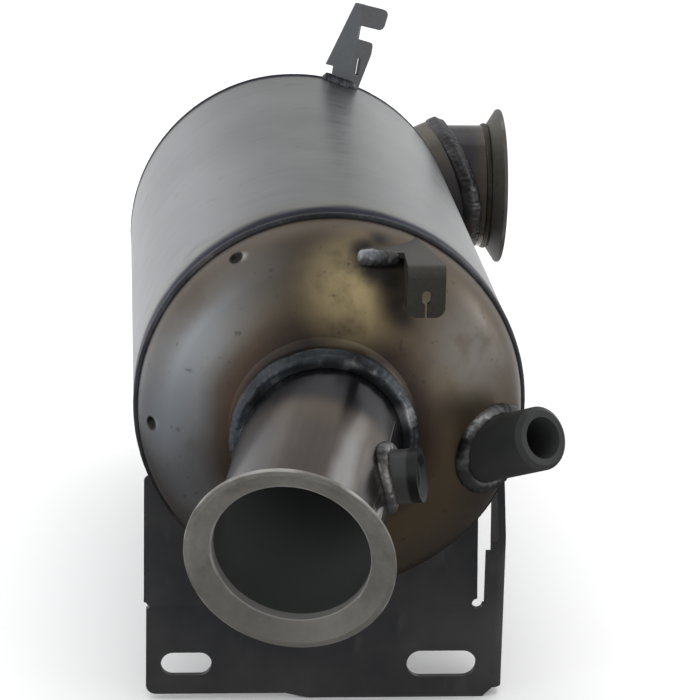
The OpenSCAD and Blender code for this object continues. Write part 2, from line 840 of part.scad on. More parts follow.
module cap_bracket() {
    color("#55514a") on_canister() difference() {
        cap_bracket_solid();
        outlet_cap_solid();
    }
}

module cap_bracket_weld() {
    color("#62666a") on_canister() difference() {
        shelf_frame()
            translate([shelf_bead / 2 - shelf_foot, shelf_foot_at + shelf_foot_ahead / 2, -clip_sheet])
                weld_run(shelf_foot - 2 * shelf_bead, shelf_bead);
        cap_bracket_solid();
        outlet_cap_solid();
    }
}

// Rear bracket

// The foot of the rear bracket's fold, with +X to the right round the shell and +Z outwards
module clip_stand() {
    translate([0, shell_len - clip_setback, 0])
        rotate([0, clip_turn, 0])
            translate([0, 0, shell_r])
                children();
}

// The rear bracket's leaning fold line
module clip_frame() clip_stand() rotate([0, -clip_lean, 0]) children();

module clip_left_outline() {
    polygon([[-clip_foot, -clip_root], [0, -clip_root], [0, clip_h], [-clip_top, clip_h],
        [-clip_wide, clip_wide_at], [-clip_foot, clip_wide_at]]);
}

module clip_right_outline() {
    leg_end = leg_top - leg_wide * tan(clip_slope);
    difference() {
        union() {
            polygon([[0, -clip_root], [leg_foot, -clip_root], [leg_wide, leg_wide_at],
                [leg_wide, leg_end - leg_corner], [leg_wide - leg_corner, leg_end - leg_corner],
                [leg_wide - leg_corner, leg_end], [0, leg_top]]);
            translate([leg_wide - leg_corner, leg_end - leg_corner]) circle(leg_corner);
        }
        translate([window_out, window_at]) square([window_w, window_h]);
    }
    // The upper tab slopes down from the fold and has round corners
    intersection() {
        translate([0, clip_h - finger_h]) rotate(-clip_slope) {
            translate([-finger_h, 0]) square([finger_h + finger_len - finger_corner, finger_h]);
            translate([-finger_h, finger_corner])
                square([finger_h + finger_len, finger_h - 2 * finger_corner]);
            for (z = [finger_corner, finger_h - finger_corner])
                translate([finger_len - finger_corner, z]) circle(finger_corner);
        }
        square([2 * finger_len, clip_h]);
    }
}

module rear_bracket_solid() {
    clip_frame() {
        rotate([0, 0, -clip_left]) front_plate(clip_sheet) clip_left_outline();
        rotate([0, 0, clip_right]) front_plate(clip_sheet) clip_right_outline();
    }
}

module rear_bracket() {
    color("#5a5c5c") on_canister() difference() {
        rear_bracket_solid();
        shell_solid();
    }
}

module rear_bracket_weld() {
    color("#3c3e40") on_canister() difference() {
        clip_stand() rotate([0, 0, -clip_left]) translate([-clip_foot, 0, 0])
            weld_run(clip_foot, clip_bead);
        shell_solid();
        rear_bracket_solid();
    }
}

// Foot bracket

// Moves and leans the tongue back about the bend line
module tongue_frame() translate([0, 0, foot_bend]) rotate([-foot_lean, 0, 0]) children();

module face_outline() {
    low = -foot_drop - foot_step;
    step = foot_step_run / 2;
    difference() {
        union() {
            polygon([[-foot_left, foot_bend], [-foot_left, foot_corner - foot_drop],
                [foot_corner - foot_left, -foot_drop], [foot_step_at - step, -foot_drop],
                [foot_step_at + step, low], [wing_flat - foot_corner, low], [wing_flat, wing_bottom],
                [wing_flat, foot_bend]]);
            translate([foot_corner - foot_left, foot_corner - foot_drop]) circle(foot_corner);
        }
        translate([-slot_pitch / 2, 0]) slot(left_slot, left_slot_w);
        translate([slot_pitch / 2, -right_slot_drop]) slot(right_slot, right_slot_w);
        translate([tongue_right, foot_bend]) circle(relief);
        translate([-foot_left, foot_bend]) circle(bend_notch);
    }
}

module tongue_outline() {
    left = -foot_left - tongue_out;
    horn = (horn_top - foot_bend) / cos(foot_lean);
    difference() {
        union() {
            polygon([[left, 0], [tongue_right, 0], [tongue_right, horn], [left + tongue_corner, horn],
                [left, horn - tongue_corner]]);
            translate([left + tongue_corner, horn - tongue_corner]) circle(tongue_corner);
        }
        translate([tongue_right, 0]) circle(relief);
        translate([left, 0]) circle(bend_notch);
    }
}

module wing_outline() {
    polygon([[wing_bend, wing_bottom], [wing_low - wing_corner, wing_bottom],
        [wing_low, wing_bottom + wing_corner], [wing_high, wing_top], [wing_bend, wing_top]]);
}

// The strip beside the tongue, with a shoulder where it narrows
module strip_outline() {
    left = tongue_right + wing_gap;
    narrow = left + wing_shoulder;
    shoulder = wing_slope_at + wing_shoulder;
    polygon([[left, foot_bend - over], [wing_flat, foot_bend - over], [wing_flat, wing_top],
        [narrow, wing_top], [narrow, shoulder], [left, shoulder]]);
}

// The quarter bend between the strip and the wing, from above
module wing_bend_outline() {
    intersection() {
        difference() {
            circle(wing_bend);
            circle(wing_bend - foot_sheet);
        }
        translate([0, -wing_bend]) square(wing_bend);
    }
}

// The strip, the bend and the side wing, with a front edge that slopes back
module wing_solid() {
    difference() {
        union() {
            front_plate(foot_sheet) strip_outline();
            translate([wing_x - foot_sheet, 0, 0]) side_plate(foot_sheet) wing_outline();
            translate([wing_flat, wing_bend, wing_bottom]) linear_extrude(wing_top - wing_bottom)
                wing_bend_outline();
        }
        translate([tongue_right, 0, 0]) side_plate(wing_x)
            polygon([[-over, wing_slope_at], [0, wing_slope_at], [wing_slope, wing_top],
                [wing_slope, wing_top + over], [-over, wing_top + over]]);
    }
}

module foot_bracket_solid() {
    front_plate(foot_sheet) face_outline();
    tongue_frame() front_plate(foot_sheet) tongue_outline();
    wing_solid();
}

module foot_bracket() {
    color("#26272b") difference() {
        foot_bracket_solid();
        on_canister() shell_solid();
    }
}

// Two stitches along the tongue's curved edge and a run along the wing's top
module foot_bracket_weld() {
    color("#3a3c40") difference() {
        union() {
            intersection() {
                on_canister() rotate([-90, 0, 0]) cylinder(r = shell_r + foot_bead, h = shell_len);
                tongue_frame() for (x = [left_stitch, right_stitch])
                    translate([x, -foot_bead, 0]) cube([stitch, foot_bead, horn_top]);
            }
            translate([wing_x, wing_slope + foot_bead, wing_meets - wing_short / 2]) rotate([0, 0, 90])
                weld_run(wing_high - wing_slope - 2 * foot_bead, foot_bead);
        }
        on_canister() shell_solid();
        foot_bracket_solid();
    }
}

canister_shell();
outlet_end_cap();
inlet_end_cap();
outlet_seam_weld();
inlet_seam_weld();
filter_segments();
filter_cement();
support_mat();
outlet_pipe();
outlet_flange();
outlet_collar_weld();
outlet_flange_weld();
inlet_pipe();
inlet_flange();
inlet_collar_weld();
inlet_flange_weld();
sensor_tube();
sensor_tube_weld();
sensor_boss();
sensor_boss_weld();
cap_bracket();
cap_bracket_weld();
rear_bracket();
rear_bracket_weld();
foot_bracket();
foot_bracket_weld();
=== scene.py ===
"""Looks of a diesel particulate filter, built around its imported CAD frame.

The solids give every main shape. This script dresses them in steel finishes, puts rippled weld
beads and turned flanges in place of the plain ones, and sets up the studio and the camera.
"""

from __future__ import annotations

import json
import logging
import math
from dataclasses import dataclass
from enum import Enum
from typing import Any, Callable, Protocol, Sequence

import bpy
from mathutils import Matrix, Vector


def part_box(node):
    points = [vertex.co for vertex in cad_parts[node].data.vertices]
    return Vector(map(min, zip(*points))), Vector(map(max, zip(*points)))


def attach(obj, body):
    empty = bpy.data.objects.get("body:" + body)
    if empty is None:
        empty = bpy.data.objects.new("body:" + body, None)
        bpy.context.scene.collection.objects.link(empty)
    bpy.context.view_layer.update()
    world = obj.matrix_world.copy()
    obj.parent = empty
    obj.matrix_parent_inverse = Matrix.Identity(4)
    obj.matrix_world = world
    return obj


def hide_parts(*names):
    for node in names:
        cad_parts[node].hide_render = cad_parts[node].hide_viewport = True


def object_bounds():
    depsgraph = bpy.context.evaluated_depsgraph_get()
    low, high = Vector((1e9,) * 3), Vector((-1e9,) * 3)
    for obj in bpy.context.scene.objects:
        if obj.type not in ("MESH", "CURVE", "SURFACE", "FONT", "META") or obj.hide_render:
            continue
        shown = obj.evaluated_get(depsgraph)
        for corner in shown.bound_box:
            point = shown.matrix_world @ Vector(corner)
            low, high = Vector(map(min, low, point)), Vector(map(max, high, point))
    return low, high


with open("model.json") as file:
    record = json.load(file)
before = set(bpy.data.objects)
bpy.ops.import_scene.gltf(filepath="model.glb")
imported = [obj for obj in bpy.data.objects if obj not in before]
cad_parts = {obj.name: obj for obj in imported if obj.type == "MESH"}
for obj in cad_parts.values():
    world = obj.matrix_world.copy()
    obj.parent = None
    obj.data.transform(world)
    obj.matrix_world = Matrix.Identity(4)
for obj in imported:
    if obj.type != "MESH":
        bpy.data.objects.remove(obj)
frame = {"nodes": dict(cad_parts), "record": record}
CAD_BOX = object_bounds()

LOG = logging.getLogger("particulate_filter")
MM = 0.001
BODY = "root"

Triple = tuple[float, float, float]
Colour = Triple
Stop = tuple[float, Colour]
Section = list[Triple]
Floor = Callable[[float, float], tuple[float, float]]
Faces = list[tuple[int, ...]]
Socket = bpy.types.NodeSocket


class Beads(Enum):
    """How a weld looks, from the clean machine-laid seams to the ragged hand-laid ones."""

    NECK = "neck"
    FEED = "feed"
    SEAM = "seam"
    BUTT = "butt"
    HAND = "hand"
    STITCH = "stitch"


def mount(name: str) -> tuple[Vector, Vector, float, float]:
    """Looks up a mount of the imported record.

    Args:
        name: the mount's name.

    Returns:
        Its place, its axis, its radius and its length, in metres.
    """
    found = next(m for m in frame["record"]["mounts"] if m["name"] == name)
    dims = found.get("dims", {})
    return (
        Vector(found["pos_m"]),
        Vector(found["axis"]).normalized(),
        dims.get("r_mm", 0.0) * MM,
        dims.get("length_mm", 0.0) * MM,
    )


@dataclass(frozen=True)
class Spindle:
    """A round feature's own frame: an origin, an axis, and two directions square to it."""

    origin: Vector
    along: Vector
    side: Vector
    up: Vector

    @classmethod
    def through(cls, origin: Vector, along: Vector) -> "Spindle":
        """Makes the frame whose side direction is level.

        Args:
            origin: a point on the axis.
            along: the axis.

        Returns:
            The frame.
        """
        axis = along.normalized()
        side = axis.cross(Vector((0.0, 0.0, 1.0))).normalized()
        return cls(origin, axis, side, side.cross(axis))

    def outward(self, angle: float) -> Vector:
        """The unit vector away from the axis at an angle."""
        return self.side * math.cos(angle) + self.up * math.sin(angle)

    def point(self, angle: float, r: float, h: float) -> Vector:
        """The point at an angle, a distance from the axis and a height along it."""
        return self.origin + self.outward(angle) * r + self.along * h


@dataclass(frozen=True)
class Canister:
    """Where the canister, its domed outlet cap and its collar lie, in metres."""

    seam: Vector
    radius: float
    length: float
    cap_inset: float = 1.65 * MM
    step: float = 1.0 * MM
    depth: float = 38.0 * MM
    knuckle: float = 25.0 * MM
    collar_height: float = 6.5 * MM
    collar_swing: float = math.radians(-2.2)
    collar_rise: float = math.radians(0.2)

    @classmethod
    def from_frame(cls) -> "Canister":
        """Reads the canister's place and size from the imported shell.

        Returns:
            The canister.
        """
        low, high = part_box("canister_shell")
        radius = (high.x - low.x) / 2
        seam = Vector(((low.x + high.x) / 2, low.y, (low.z + high.z) / 2))
        return cls(seam, radius, high.y - low.y)

    @property
    def cap_radius(self) -> float:
        """Outside radius of the domed cap, which slides into the shell."""
        return self.radius - self.cap_inset

    @property
    def crown(self) -> float:
        """Radius of the dome's crown."""
        flat = self.cap_radius - self.knuckle
        return (flat**2 + self.depth**2 - self.knuckle**2) / (2 * (self.depth - self.knuckle))

    @property
    def crown_middle(self) -> Vector:
        """Centre of the dome's crown."""
        return self.seam + Vector((0.0, self.crown - self.step - self.depth, 0.0))

    def dome(self, r: float) -> float:
        """Height of the outlet dome ahead of the seam.

        Args:
            r: distance from the canister's axis.

        Returns:
            The height, or a falling slope beyond the rim.
        """
        flat = self.cap_radius - self.knuckle
        edge = self.crown * math.sin(math.atan2(flat, self.crown - self.depth))
        if r < edge:
            return self.step + self.depth - self.crown + math.sqrt(self.crown**2 - r * r)
        if r < self.cap_radius:
            return self.step + math.sqrt(max(0.0, self.knuckle**2 - (r - flat) ** 2))
        return self.step - 20.0 * (r - self.cap_radius)

    def above_dome(self, point: Vector) -> float:
        """How far a point lies ahead of the dome, along the canister's axis."""
        local = point - self.seam
        return -local.y - self.dome(math.hypot(local.x, local.z))

    def collar(self) -> Spindle:
        """Works out the collar's frame.

        Returns:
            The frame, with its origin at the middle of the rim.
        """
        swing, rise = self.collar_swing, self.collar_rise
        heading = Vector(
            (math.sin(swing) * math.cos(rise), -math.cos(swing) * math.cos(rise), math.sin(rise))
        )
        rim = self.crown_middle + heading * (self.crown + self.collar_height)
        return Spindle.through(rim, heading)


# Materials


class Finisher:
    """Lays out the nodes of one procedural material that reads Object coordinates."""

    def __init__(self, name: str, metallic: float, roughness: float) -> None:
        """Starts a material.

        Args:
            name: the material's name.
            metallic: how metallic it is all over.
            roughness: its roughness, unless a pattern is linked later.
        """
        self.material = bpy.data.materials.new(name)
        self.material.use_nodes = True
        self.tree = self.material.node_tree
        self.shader = self.tree.nodes["Principled BSDF"]
        self.shader.inputs["Metallic"].default_value = metallic
        self.shader.inputs["Roughness"].default_value = roughness
        self.place = self.tree.nodes.new("ShaderNodeTexCoord").outputs["Object"]

    def add(self, kind: str, settings: dict[str, Any], inputs: dict[Any, Any]) -> bpy.types.Node:
        """Adds a node.

        Args:
            kind: the node's type.
            settings: its properties.
            inputs: its sockets, each given a value or a socket to link from.

        Returns:
            The node.
        """
        node = self.tree.nodes.new(kind)
        for key, value in settings.items():
            setattr(node, key, value)
        for key, value in inputs.items():
            if isinstance(value, Socket):
                self.tree.links.new(value, node.inputs[key])
            else:
                node.inputs[key].default_value = value
        return node

    def math(self, operation: str, a: Any, b: Any = 0.0) -> Socket:
        """A Math node's result."""
        return self.add("ShaderNodeMath", {"operation": operation}, {0: a, 1: b}).outputs[0]

    def plus(self, a: Any, b: Any) -> Socket:
        """The sum of two values."""
        return self.math("ADD", a, b)

    def minus(self, a: Any, b: Any) -> Socket:
        """The difference of two values."""
        return self.math("SUBTRACT", a, b)

    def times(self, a: Any, b: Any) -> Socket:
        """The product of two values."""
        return self.math("MULTIPLY", a, b)

    def weigh(self, *parts: tuple[Socket, float]) -> Socket:
        """Adds values up, each with its weight.

        Args:
            parts: each value and its weight.

        Returns:
            The sum.
        """
        total = self.times(*parts[0])
        for part in parts[1:]:
            total = self.plus(total, self.times(*part))
        return total

    def swing(self, noise: Socket, size: float) -> Socket:
        """Noise moved to lie about zero, and scaled."""
        return self.times(self.minus(noise, 0.5), size)

    def vector(self, operation: str, a: Any, b: Any = (0.0, 0.0, 0.0)) -> bpy.types.Node:
        """A Vector Math node."""
        return self.add("ShaderNodeVectorMath", {"operation": operation}, {0: a, 1: b})

    def spread(self, value: Any, low: float, high: float) -> Socket:
        """Maps a value smoothly to 0 to 1.

        Args:
            value: what it reads.
            low: where it gives 0.
            high: where it gives 1.

        Returns:
            The mapped value.
        """
        return self.add(
            "ShaderNodeMapRange",
            {"interpolation_type": "SMOOTHSTEP"},
            {"Value": value, "From Min": low, "From Max": high},
        ).outputs["Result"]

    def noise(self, scale: float, detail: float, stretch: Triple = (1.0, 1.0, 1.0)) -> Socket:
        """Noise over the piece.

        Args:
            scale: waves to the metre.
            detail: octaves.
            stretch: scale along X, Y and Z.

        Returns:
            The noise's value.
        """
        mapped = self.add("ShaderNodeMapping", {}, {"Vector": self.place, "Scale": stretch})
        return self.add(
            "ShaderNodeTexNoise",
            {},
            {"Vector": mapped.outputs[0], "Scale": scale, "Detail": detail, "Roughness": 0.55},
        ).outputs[0]

    def flat_noise(self, u: Socket, v: Socket, detail: float) -> Socket:
        """Noise over two unrolled directions.

        Args:
            u: the first direction, scaled as the noise should be.
            v: the second direction.
            detail: octaves.

        Returns:
            The noise's value.
        """
        place = self.add("ShaderNodeCombineXYZ", {}, {0: u, 1: v}).outputs[0]
        return self.add(
            "ShaderNodeTexNoise",
            {"noise_dimensions": "2D"},
            {"Vector": place, "Scale": 1.0, "Detail": detail},
        ).outputs[0]

    def ramp(self, factor: Socket, stops: Sequence[Stop]) -> Socket:
        """A colour ramp.

        Args:
            factor: what it reads.
            stops: places from 0 to 1 with their colours.

        Returns:
            The colour.
        """
        node = self.add("ShaderNodeValToRGB", {}, {0: factor})
        elements = node.color_ramp.elements
        while len(elements) < len(stops):
            elements.new(0.5)
        for element, (place, colour) in zip(elements, stops):
            element.position = place
            element.color = (*colour, 1.0)
        return node.outputs["Color"]

    def mix(self, factor: Any, a: Any, b: Any) -> Socket:
        """Mixes two colours.

        Args:
            factor: how much of the second one shows.
            a: the first colour, or a socket that gives it.
            b: the second colour, or a socket that gives it.

        Returns:
            The mixed colour.
        """
        node = self.add("ShaderNodeMix", {"data_type": "RGBA"}, {0: factor})
        for key, value in ((6, a), (7, b)):
            if isinstance(value, Socket):
                self.tree.links.new(value, node.inputs[key])
            else:
                node.inputs[key].default_value = (*value, 1.0)
        return node.outputs[2]

    def tint(self, base: Socket, mask: Socket, share: float, colour: Any) -> Socket:
        """Lays a colour over a base where a mask shows, up to a share."""
        return self.mix(self.times(mask, share), base, colour)

    def off_axis(self, axis: Spindle) -> Socket:
        """Measures how far the place lies from an axis.

        Args:
            axis: the axis.

        Returns:
            The distance, in metres.
        """
        local = self.vector("SUBTRACT", self.place, tuple(axis.origin)).outputs[0]
        square = self.vector("CROSS_PRODUCT", local, tuple(axis.along)).outputs[0]
        return self.vector("LENGTH", square).outputs[1]

    def along_axis(self, axis: Spindle) -> Socket:
        """Height along an axis, in metres."""
        local = self.vector("SUBTRACT", self.place, tuple(axis.origin)).outputs[0]
        return self.vector("DOT_PRODUCT", local, tuple(axis.along)).outputs[1]

    def round_axis(self, axis: Spindle) -> Socket:
        """Measures the angle of the place round an axis.

        Args:
            axis: the axis.

        Returns:
            The angle, in radians.
        """
        local = self.vector("SUBTRACT", self.place, tuple(axis.origin)).outputs[0]
        return self.math(
            "ARCTAN2",
            self.vector("DOT_PRODUCT", local, tuple(axis.up)).outputs[1],
            self.vector("DOT_PRODUCT", local, tuple(axis.side)).outputs[1],
        )

    def near(self, point: Vector, reach: float) -> Socket:
        """A soft spot that is 1 at a point and 0 at its reach."""
        away = self.vector("DISTANCE", self.place, tuple(point)).outputs[1]
        return self.spread(away, reach, 0.0)

    def level(self, key: str) -> Socket:
        """One coordinate of the place, by its letter."""
        return self.add("ShaderNodeSeparateXYZ", {}, {0: self.place}).outputs[key]

    def metal(self, value: Socket) -> None:
        """Links how metallic the surface is."""
        self.tree.links.new(value, self.shader.inputs["Metallic"])

    def edge(self, socket: Socket) -> None:
        """Links the tint of a metal where it is seen at a slant."""
        self.tree.links.new(socket, self.shader.inputs["Specular Tint"])

    def colour(self, socket: Socket) -> None:
        """Links the base colour."""
        self.tree.links.new(socket, self.shader.inputs["Base Color"])

    def roughness(self, value: Socket, low: float, high: float) -> None:
        """Links the roughness, from low where the value is 0 to high where it is 1."""
        node = self.add("ShaderNodeMapRange", {}, {"Value": value, "To Min": low, "To Max": high})
        self.tree.links.new(node.outputs["Result"], self.shader.inputs["Roughness"])

    def bump(self, height: Socket, depth: float, strength: float) -> None:
        """Links a bump.

        Args:
            height: what it reads.
            depth: the height of a full step, in metres.
            strength: how strongly it shows.
        """
        sizes = {"Height": height, "Distance": depth, "Strength": strength}
        node = self.add("ShaderNodeBump", {}, sizes)
        self.tree.links.new(node.outputs[0], self.shader.inputs["Normal"])


class Finish(Protocol):
    """Anything that makes a material."""

    def build(self) -> bpy.types.Material:
        """Makes the material."""


@dataclass(frozen=True)
class RolledSteel:
    """Satin sheet with faint clouds, a fine grain and scuffs, and heat bands where a seam is."""

    name: str
    dark: Colour
    light: Colour
    rough: tuple[float, float]
    grain: Triple = (60.0, 4.0, 60.0)
    seam: float | None = None
    straw: Colour = (0.122, 0.110, 0.098)
    burnt: Colour = (0.045, 0.043, 0.052)

    def build(self) -> bpy.types.Material:
        """Makes the material.

        Returns:
            The material, with its colour, roughness and bump linked.
        """
        finish = Finisher(self.name, 0.75, self.rough[0])
        clouds = finish.noise(9.0, 4.0)
        grain = finish.noise(14.0, 2.0, self.grain)
        scuffs = finish.spread(finish.noise(46.0, 6.0), 0.6, 0.72)
        tone = finish.weigh((clouds, 0.75), (grain, 0.25))
        base = finish.ramp(tone, [(0.3, self.dark), (0.7, self.light)])
        if self.seam is not None:
            away = finish.minus(finish.level("Y"), self.seam)
            away = finish.plus(away, finish.swing(clouds, 0.016))
            base = finish.tint(base, finish.spread(away, 0.030, 0.010), 0.6, self.straw)
            base = finish.tint(base, finish.spread(away, 0.012, 0.004), 0.8, self.burnt)
        finish.colour(finish.tint(base, scuffs, 0.25, self.dark))
        finish.roughness(finish.plus(grain, finish.times(scuffs, 0.3)), *self.rough)
        finish.bump(grain, 0.00003, 0.5)
        return finish.material


@dataclass(frozen=True)
class RolledShell:
    """Rolled stainless shell: grain and smears round it, heat bands along both seams, and a painted
    bluish reflection on its left side.
    """

    name: str
    canister: Canister
    dark: Colour
    light: Colour
    left_reflection_blue: Colour = (0.268, 0.276, 0.318)
    straw: Colour = (0.185, 0.165, 0.130)
    burnt: Colour = (0.055, 0.056, 0.066)
    slant: Colour = (0.93, 0.93, 0.925)
    burnt_slant: Colour = (0.34, 0.34, 0.40)

    def build(self) -> bpy.types.Material:
        """Makes the material.

        Returns:
            The material, with its colour, roughness and bump linked.
        """
        finish = Finisher(self.name, 1.0, 0.34)
        seam = self.canister.seam
        axis = Spindle.through(seam, Vector((0.0, 1.0, 0.0)))
        length = finish.along_axis(axis)
        turn = finish.round_axis(axis)
        clouds = finish.noise(11.0, 4.0)
        grain = finish.flat_noise(finish.times(turn, 3.0), finish.times(length, 900.0), 3.0)
        smears = finish.flat_noise(finish.times(turn, 3.5), finish.times(length, 130.0), 5.0)
        tone = finish.weigh((clouds, 0.5), (smears, 0.3), (grain, 0.2))
        base = finish.ramp(tone, [(0.36, self.dark), (0.63, self.light)])
        # Painted reflection: the left side is tinted bluish, as if it mirrored a blue light on that
        # side.
        left = finish.spread(finish.level("X"), seam.x + 0.010, seam.x - 0.060)
        base = finish.tint(base, left, 0.45, self.left_reflection_blue)
        rear = finish.times(finish.minus(self.canister.length, length), 2.0)
        near = finish.plus(finish.math("MINIMUM", length, rear), finish.swing(smears, 0.006))
        base = finish.tint(base, finish.spread(near, 0.030, 0.012), 0.45, self.straw)
        burnt = finish.times(finish.spread(near, 0.0155, 0.0055), 0.92)
        base = finish.mix(burnt, base, self.burnt)
        finish.edge(finish.mix(burnt, self.slant, self.burnt_slant))
        scuffs = finish.spread(finish.noise(52.0, 6.0), 0.62, 0.74)
        finish.colour(finish.tint(base, scuffs, 0.3, self.dark))
        finish.roughness(finish.plus(smears, finish.times(scuffs, 0.3)), 0.28, 0.43)
        finish.bump(finish.plus(grain, finish.times(smears, 0.5)), 0.00004, 0.5)
        return finish.material


@dataclass(frozen=True)
class TintedDome:
    """Pressed stainless dome: grey on the left, browned by heat round its neck and to the right.

    The places of its gold glow, its painted pale highlight, and its burn marks and painted tab
    shadow are given from the seam's middle.
    The stops of its two ramps run outwards from the collar's axis.
    """

    name: str
    canister: Canister
    gold: Triple = (0.0085, -0.0270, 0.0545)
    pale_highlight_spot: Triple = (0.052, -0.028, 0.030)
    dimples: tuple[tuple[float, float], ...] = (
        (73.8 * MM, math.radians(121.5)),
        (71.3 * MM, math.radians(182.6)),
    )
    # Dark spots: burn marks round the tab's weld, and painted shadow of the tab on the dome.
    burns_and_shadows: tuple[tuple[Triple, float], ...] = (
        ((0.0085, -0.0195, 0.0679), 0.007),
        ((0.0114, -0.0175, 0.0691), 0.007),
        ((0.0170, -0.0135, 0.0712), 0.007),
        ((0.0135, -0.0230, 0.0622), 0.009),
        ((0.0185, -0.0230, 0.0604), 0.011),
        ((0.0205, -0.0250, 0.0560), 0.012),
        ((0.0225, -0.0270, 0.0480), 0.011),
        ((0.0258, -0.0290, 0.0434), 0.010),
        ((0.0460, -0.0370, 0.0080), 0.013),
    )
    warm: tuple[Stop, ...] = (
        (0.42, (0.040, 0.034, 0.032)),
        (0.50, (0.072, 0.052, 0.042)),
        (0.60, (0.165, 0.125, 0.080)),
        (0.72, (0.155, 0.124, 0.086)),
        (0.86, (0.122, 0.100, 0.080)),
        (0.95, (0.092, 0.078, 0.066)),
    )
    grey: tuple[Stop, ...] = (
        (0.42, (0.034, 0.029, 0.028)),
        (0.48, (0.078, 0.050, 0.034)),
        (0.54, (0.085, 0.066, 0.052)),
        (0.64, (0.180, 0.178, 0.176)),
        (0.86, (0.235, 0.245, 0.258)),
        (0.95, (0.090, 0.090, 0.096)),
    )
    ramp_reach: float = 0.08
    upper_left_shade: Colour = (0.078, 0.072, 0.066)
    shaded_low_rim: Colour = (0.080, 0.062, 0.047)
    lit_high_rim: Colour = (0.130, 0.103, 0.074)
    pale: Colour = (0.270, 0.268, 0.255)
    golden: Colour = (0.740, 0.600, 0.330)
    burn_and_shadow_dark: Colour = (0.031, 0.031, 0.035)
    mottled: Colour = (0.105, 0.080, 0.066)
    rub_and_highlight: Colour = (0.420, 0.410, 0.390)
    pit_shade_colour: Colour = (0.016, 0.015, 0.014)
    specked: Colour = (0.05, 0.045, 0.04)

    def build(self) -> bpy.types.Material:
        """Makes the material.

        Returns:
            The material, with its colour, roughness and bump linked.
        """
        finish = Finisher(self.name, 0.9, 0.34)
        clouds = finish.noise(16.0, 4.0)
        blotches = finish.noise(34.0, 5.0)
        base = self.heat(finish, finish.swing(clouds, 0.016))
        base = self.marks(finish, base, blotches)
        specks = finish.spread(finish.noise(240.0, 2.0), 0.66, 0.74)
        finish.colour(finish.tint(base, specks, 0.4, self.specked))
        finish.roughness(finish.plus(clouds, finish.times(specks, 0.3)), 0.30, 0.50)
        finish.bump(finish.plus(finish.noise(120.0, 3.0), blotches), 0.00005, 0.5)
        return finish.material

    def heat(self, finish: Finisher, drift: Socket) -> Socket:
        """Lays out the heat tints, a painted shade on the upper left, and a rim band painted
        lighter at the top and darker at the bottom.

        Args:
            finish: the finisher to work with.
            drift: noise that moves their borders, in metres.

        Returns:
            The colour.
        """
        seam = self.canister.seam
        r = finish.plus(finish.off_axis(self.canister.collar()), drift)
        share = finish.math("DIVIDE", r, self.ramp_reach)
        warm, grey = finish.ramp(share, self.warm), finish.ramp(share, self.grey)
        sideways = finish.plus(finish.level("X"), drift)
        base = finish.mix(finish.spread(sideways, seam.x - 0.050, seam.x - 0.012), grey, warm)
        # Painted shade: the upper left of the dome is darkened.
        upper = finish.plus(finish.level("Z"), drift)
        upper = finish.spread(upper, seam.z + 0.026, seam.z + 0.060)
        upper = finish.times(upper, finish.spread(sideways, seam.x + 0.020, seam.x - 0.030))
        base = finish.tint(base, upper, 0.55, self.upper_left_shade)
        # A brown band round the rim, painted lighter toward the top and darker toward the bottom as
        # light and shade.
        axis = Spindle.through(seam, Vector((0.0, -1.0, 0.0)))
        rim = finish.spread(finish.plus(finish.off_axis(axis), drift), 0.062, 0.077)
        high = finish.spread(finish.level("Z"), seam.z + 0.010, seam.z + 0.060)
        return finish.tint(base, rim, 0.65, finish.mix(high, self.shaded_low_rim, self.lit_high_rim))

    def marks(self, finish: Finisher, base: Socket, blotches: Socket) -> Socket:
        """Adds the painted pale highlight, the gold glow, the burn marks and painted tab shadow,
        the mottling and the dimples with their painted shade and highlight.

        Args:
            finish: the finisher to work with.
            base: the colour under them.
            blotches: noise that breaks them up.

        Returns:
            The colour.
        """
        seam = self.canister.seam
        # Painted highlight: a pale spot on the upper right of the dome.
        pale_highlight_spot = finish.near(seam + Vector(self.pale_highlight_spot), 0.030)
        pale_highlight_spot = finish.times(pale_highlight_spot, finish.spread(blotches, 0.35, 0.6))
        base = finish.tint(base, pale_highlight_spot, 0.7, self.pale)
        glow = finish.near(seam + Vector(self.gold), 0.030)
        glow = finish.times(glow, finish.spread(blotches, 0.3, 0.55))
        base = finish.mix(glow, base, self.golden)
        # Burn marks round the tab's weld, and painted shadow of the tab.
        for spot, reach in self.burns_and_shadows:
            base = finish.tint(base, finish.near(seam + Vector(spot), reach), 0.85, self.burn_and_shadow_dark)
        base = finish.tint(base, finish.spread(blotches, 0.5, 0.68), 0.35, self.mottled)
        for out, turn in self.dimples:
            depth = -self.canister.dome(out)
            dimple = seam + Vector((out * math.cos(turn), depth, out * math.sin(turn)))
            # Painted highlight on each dimple's right rim, and painted shade in its pit.
            rim_highlight = finish.near(dimple + Vector((0.0026, -0.0010, 0.0006)), 0.0032)
            base = finish.tint(base, rim_highlight, 0.8, self.rub_and_highlight)
            pit_shade = finish.spread(finish.near(dimple, 0.0052), 0.22, 0.6)
            base = finish.mix(pit_shade, base, self.pit_shade_colour)
        return base


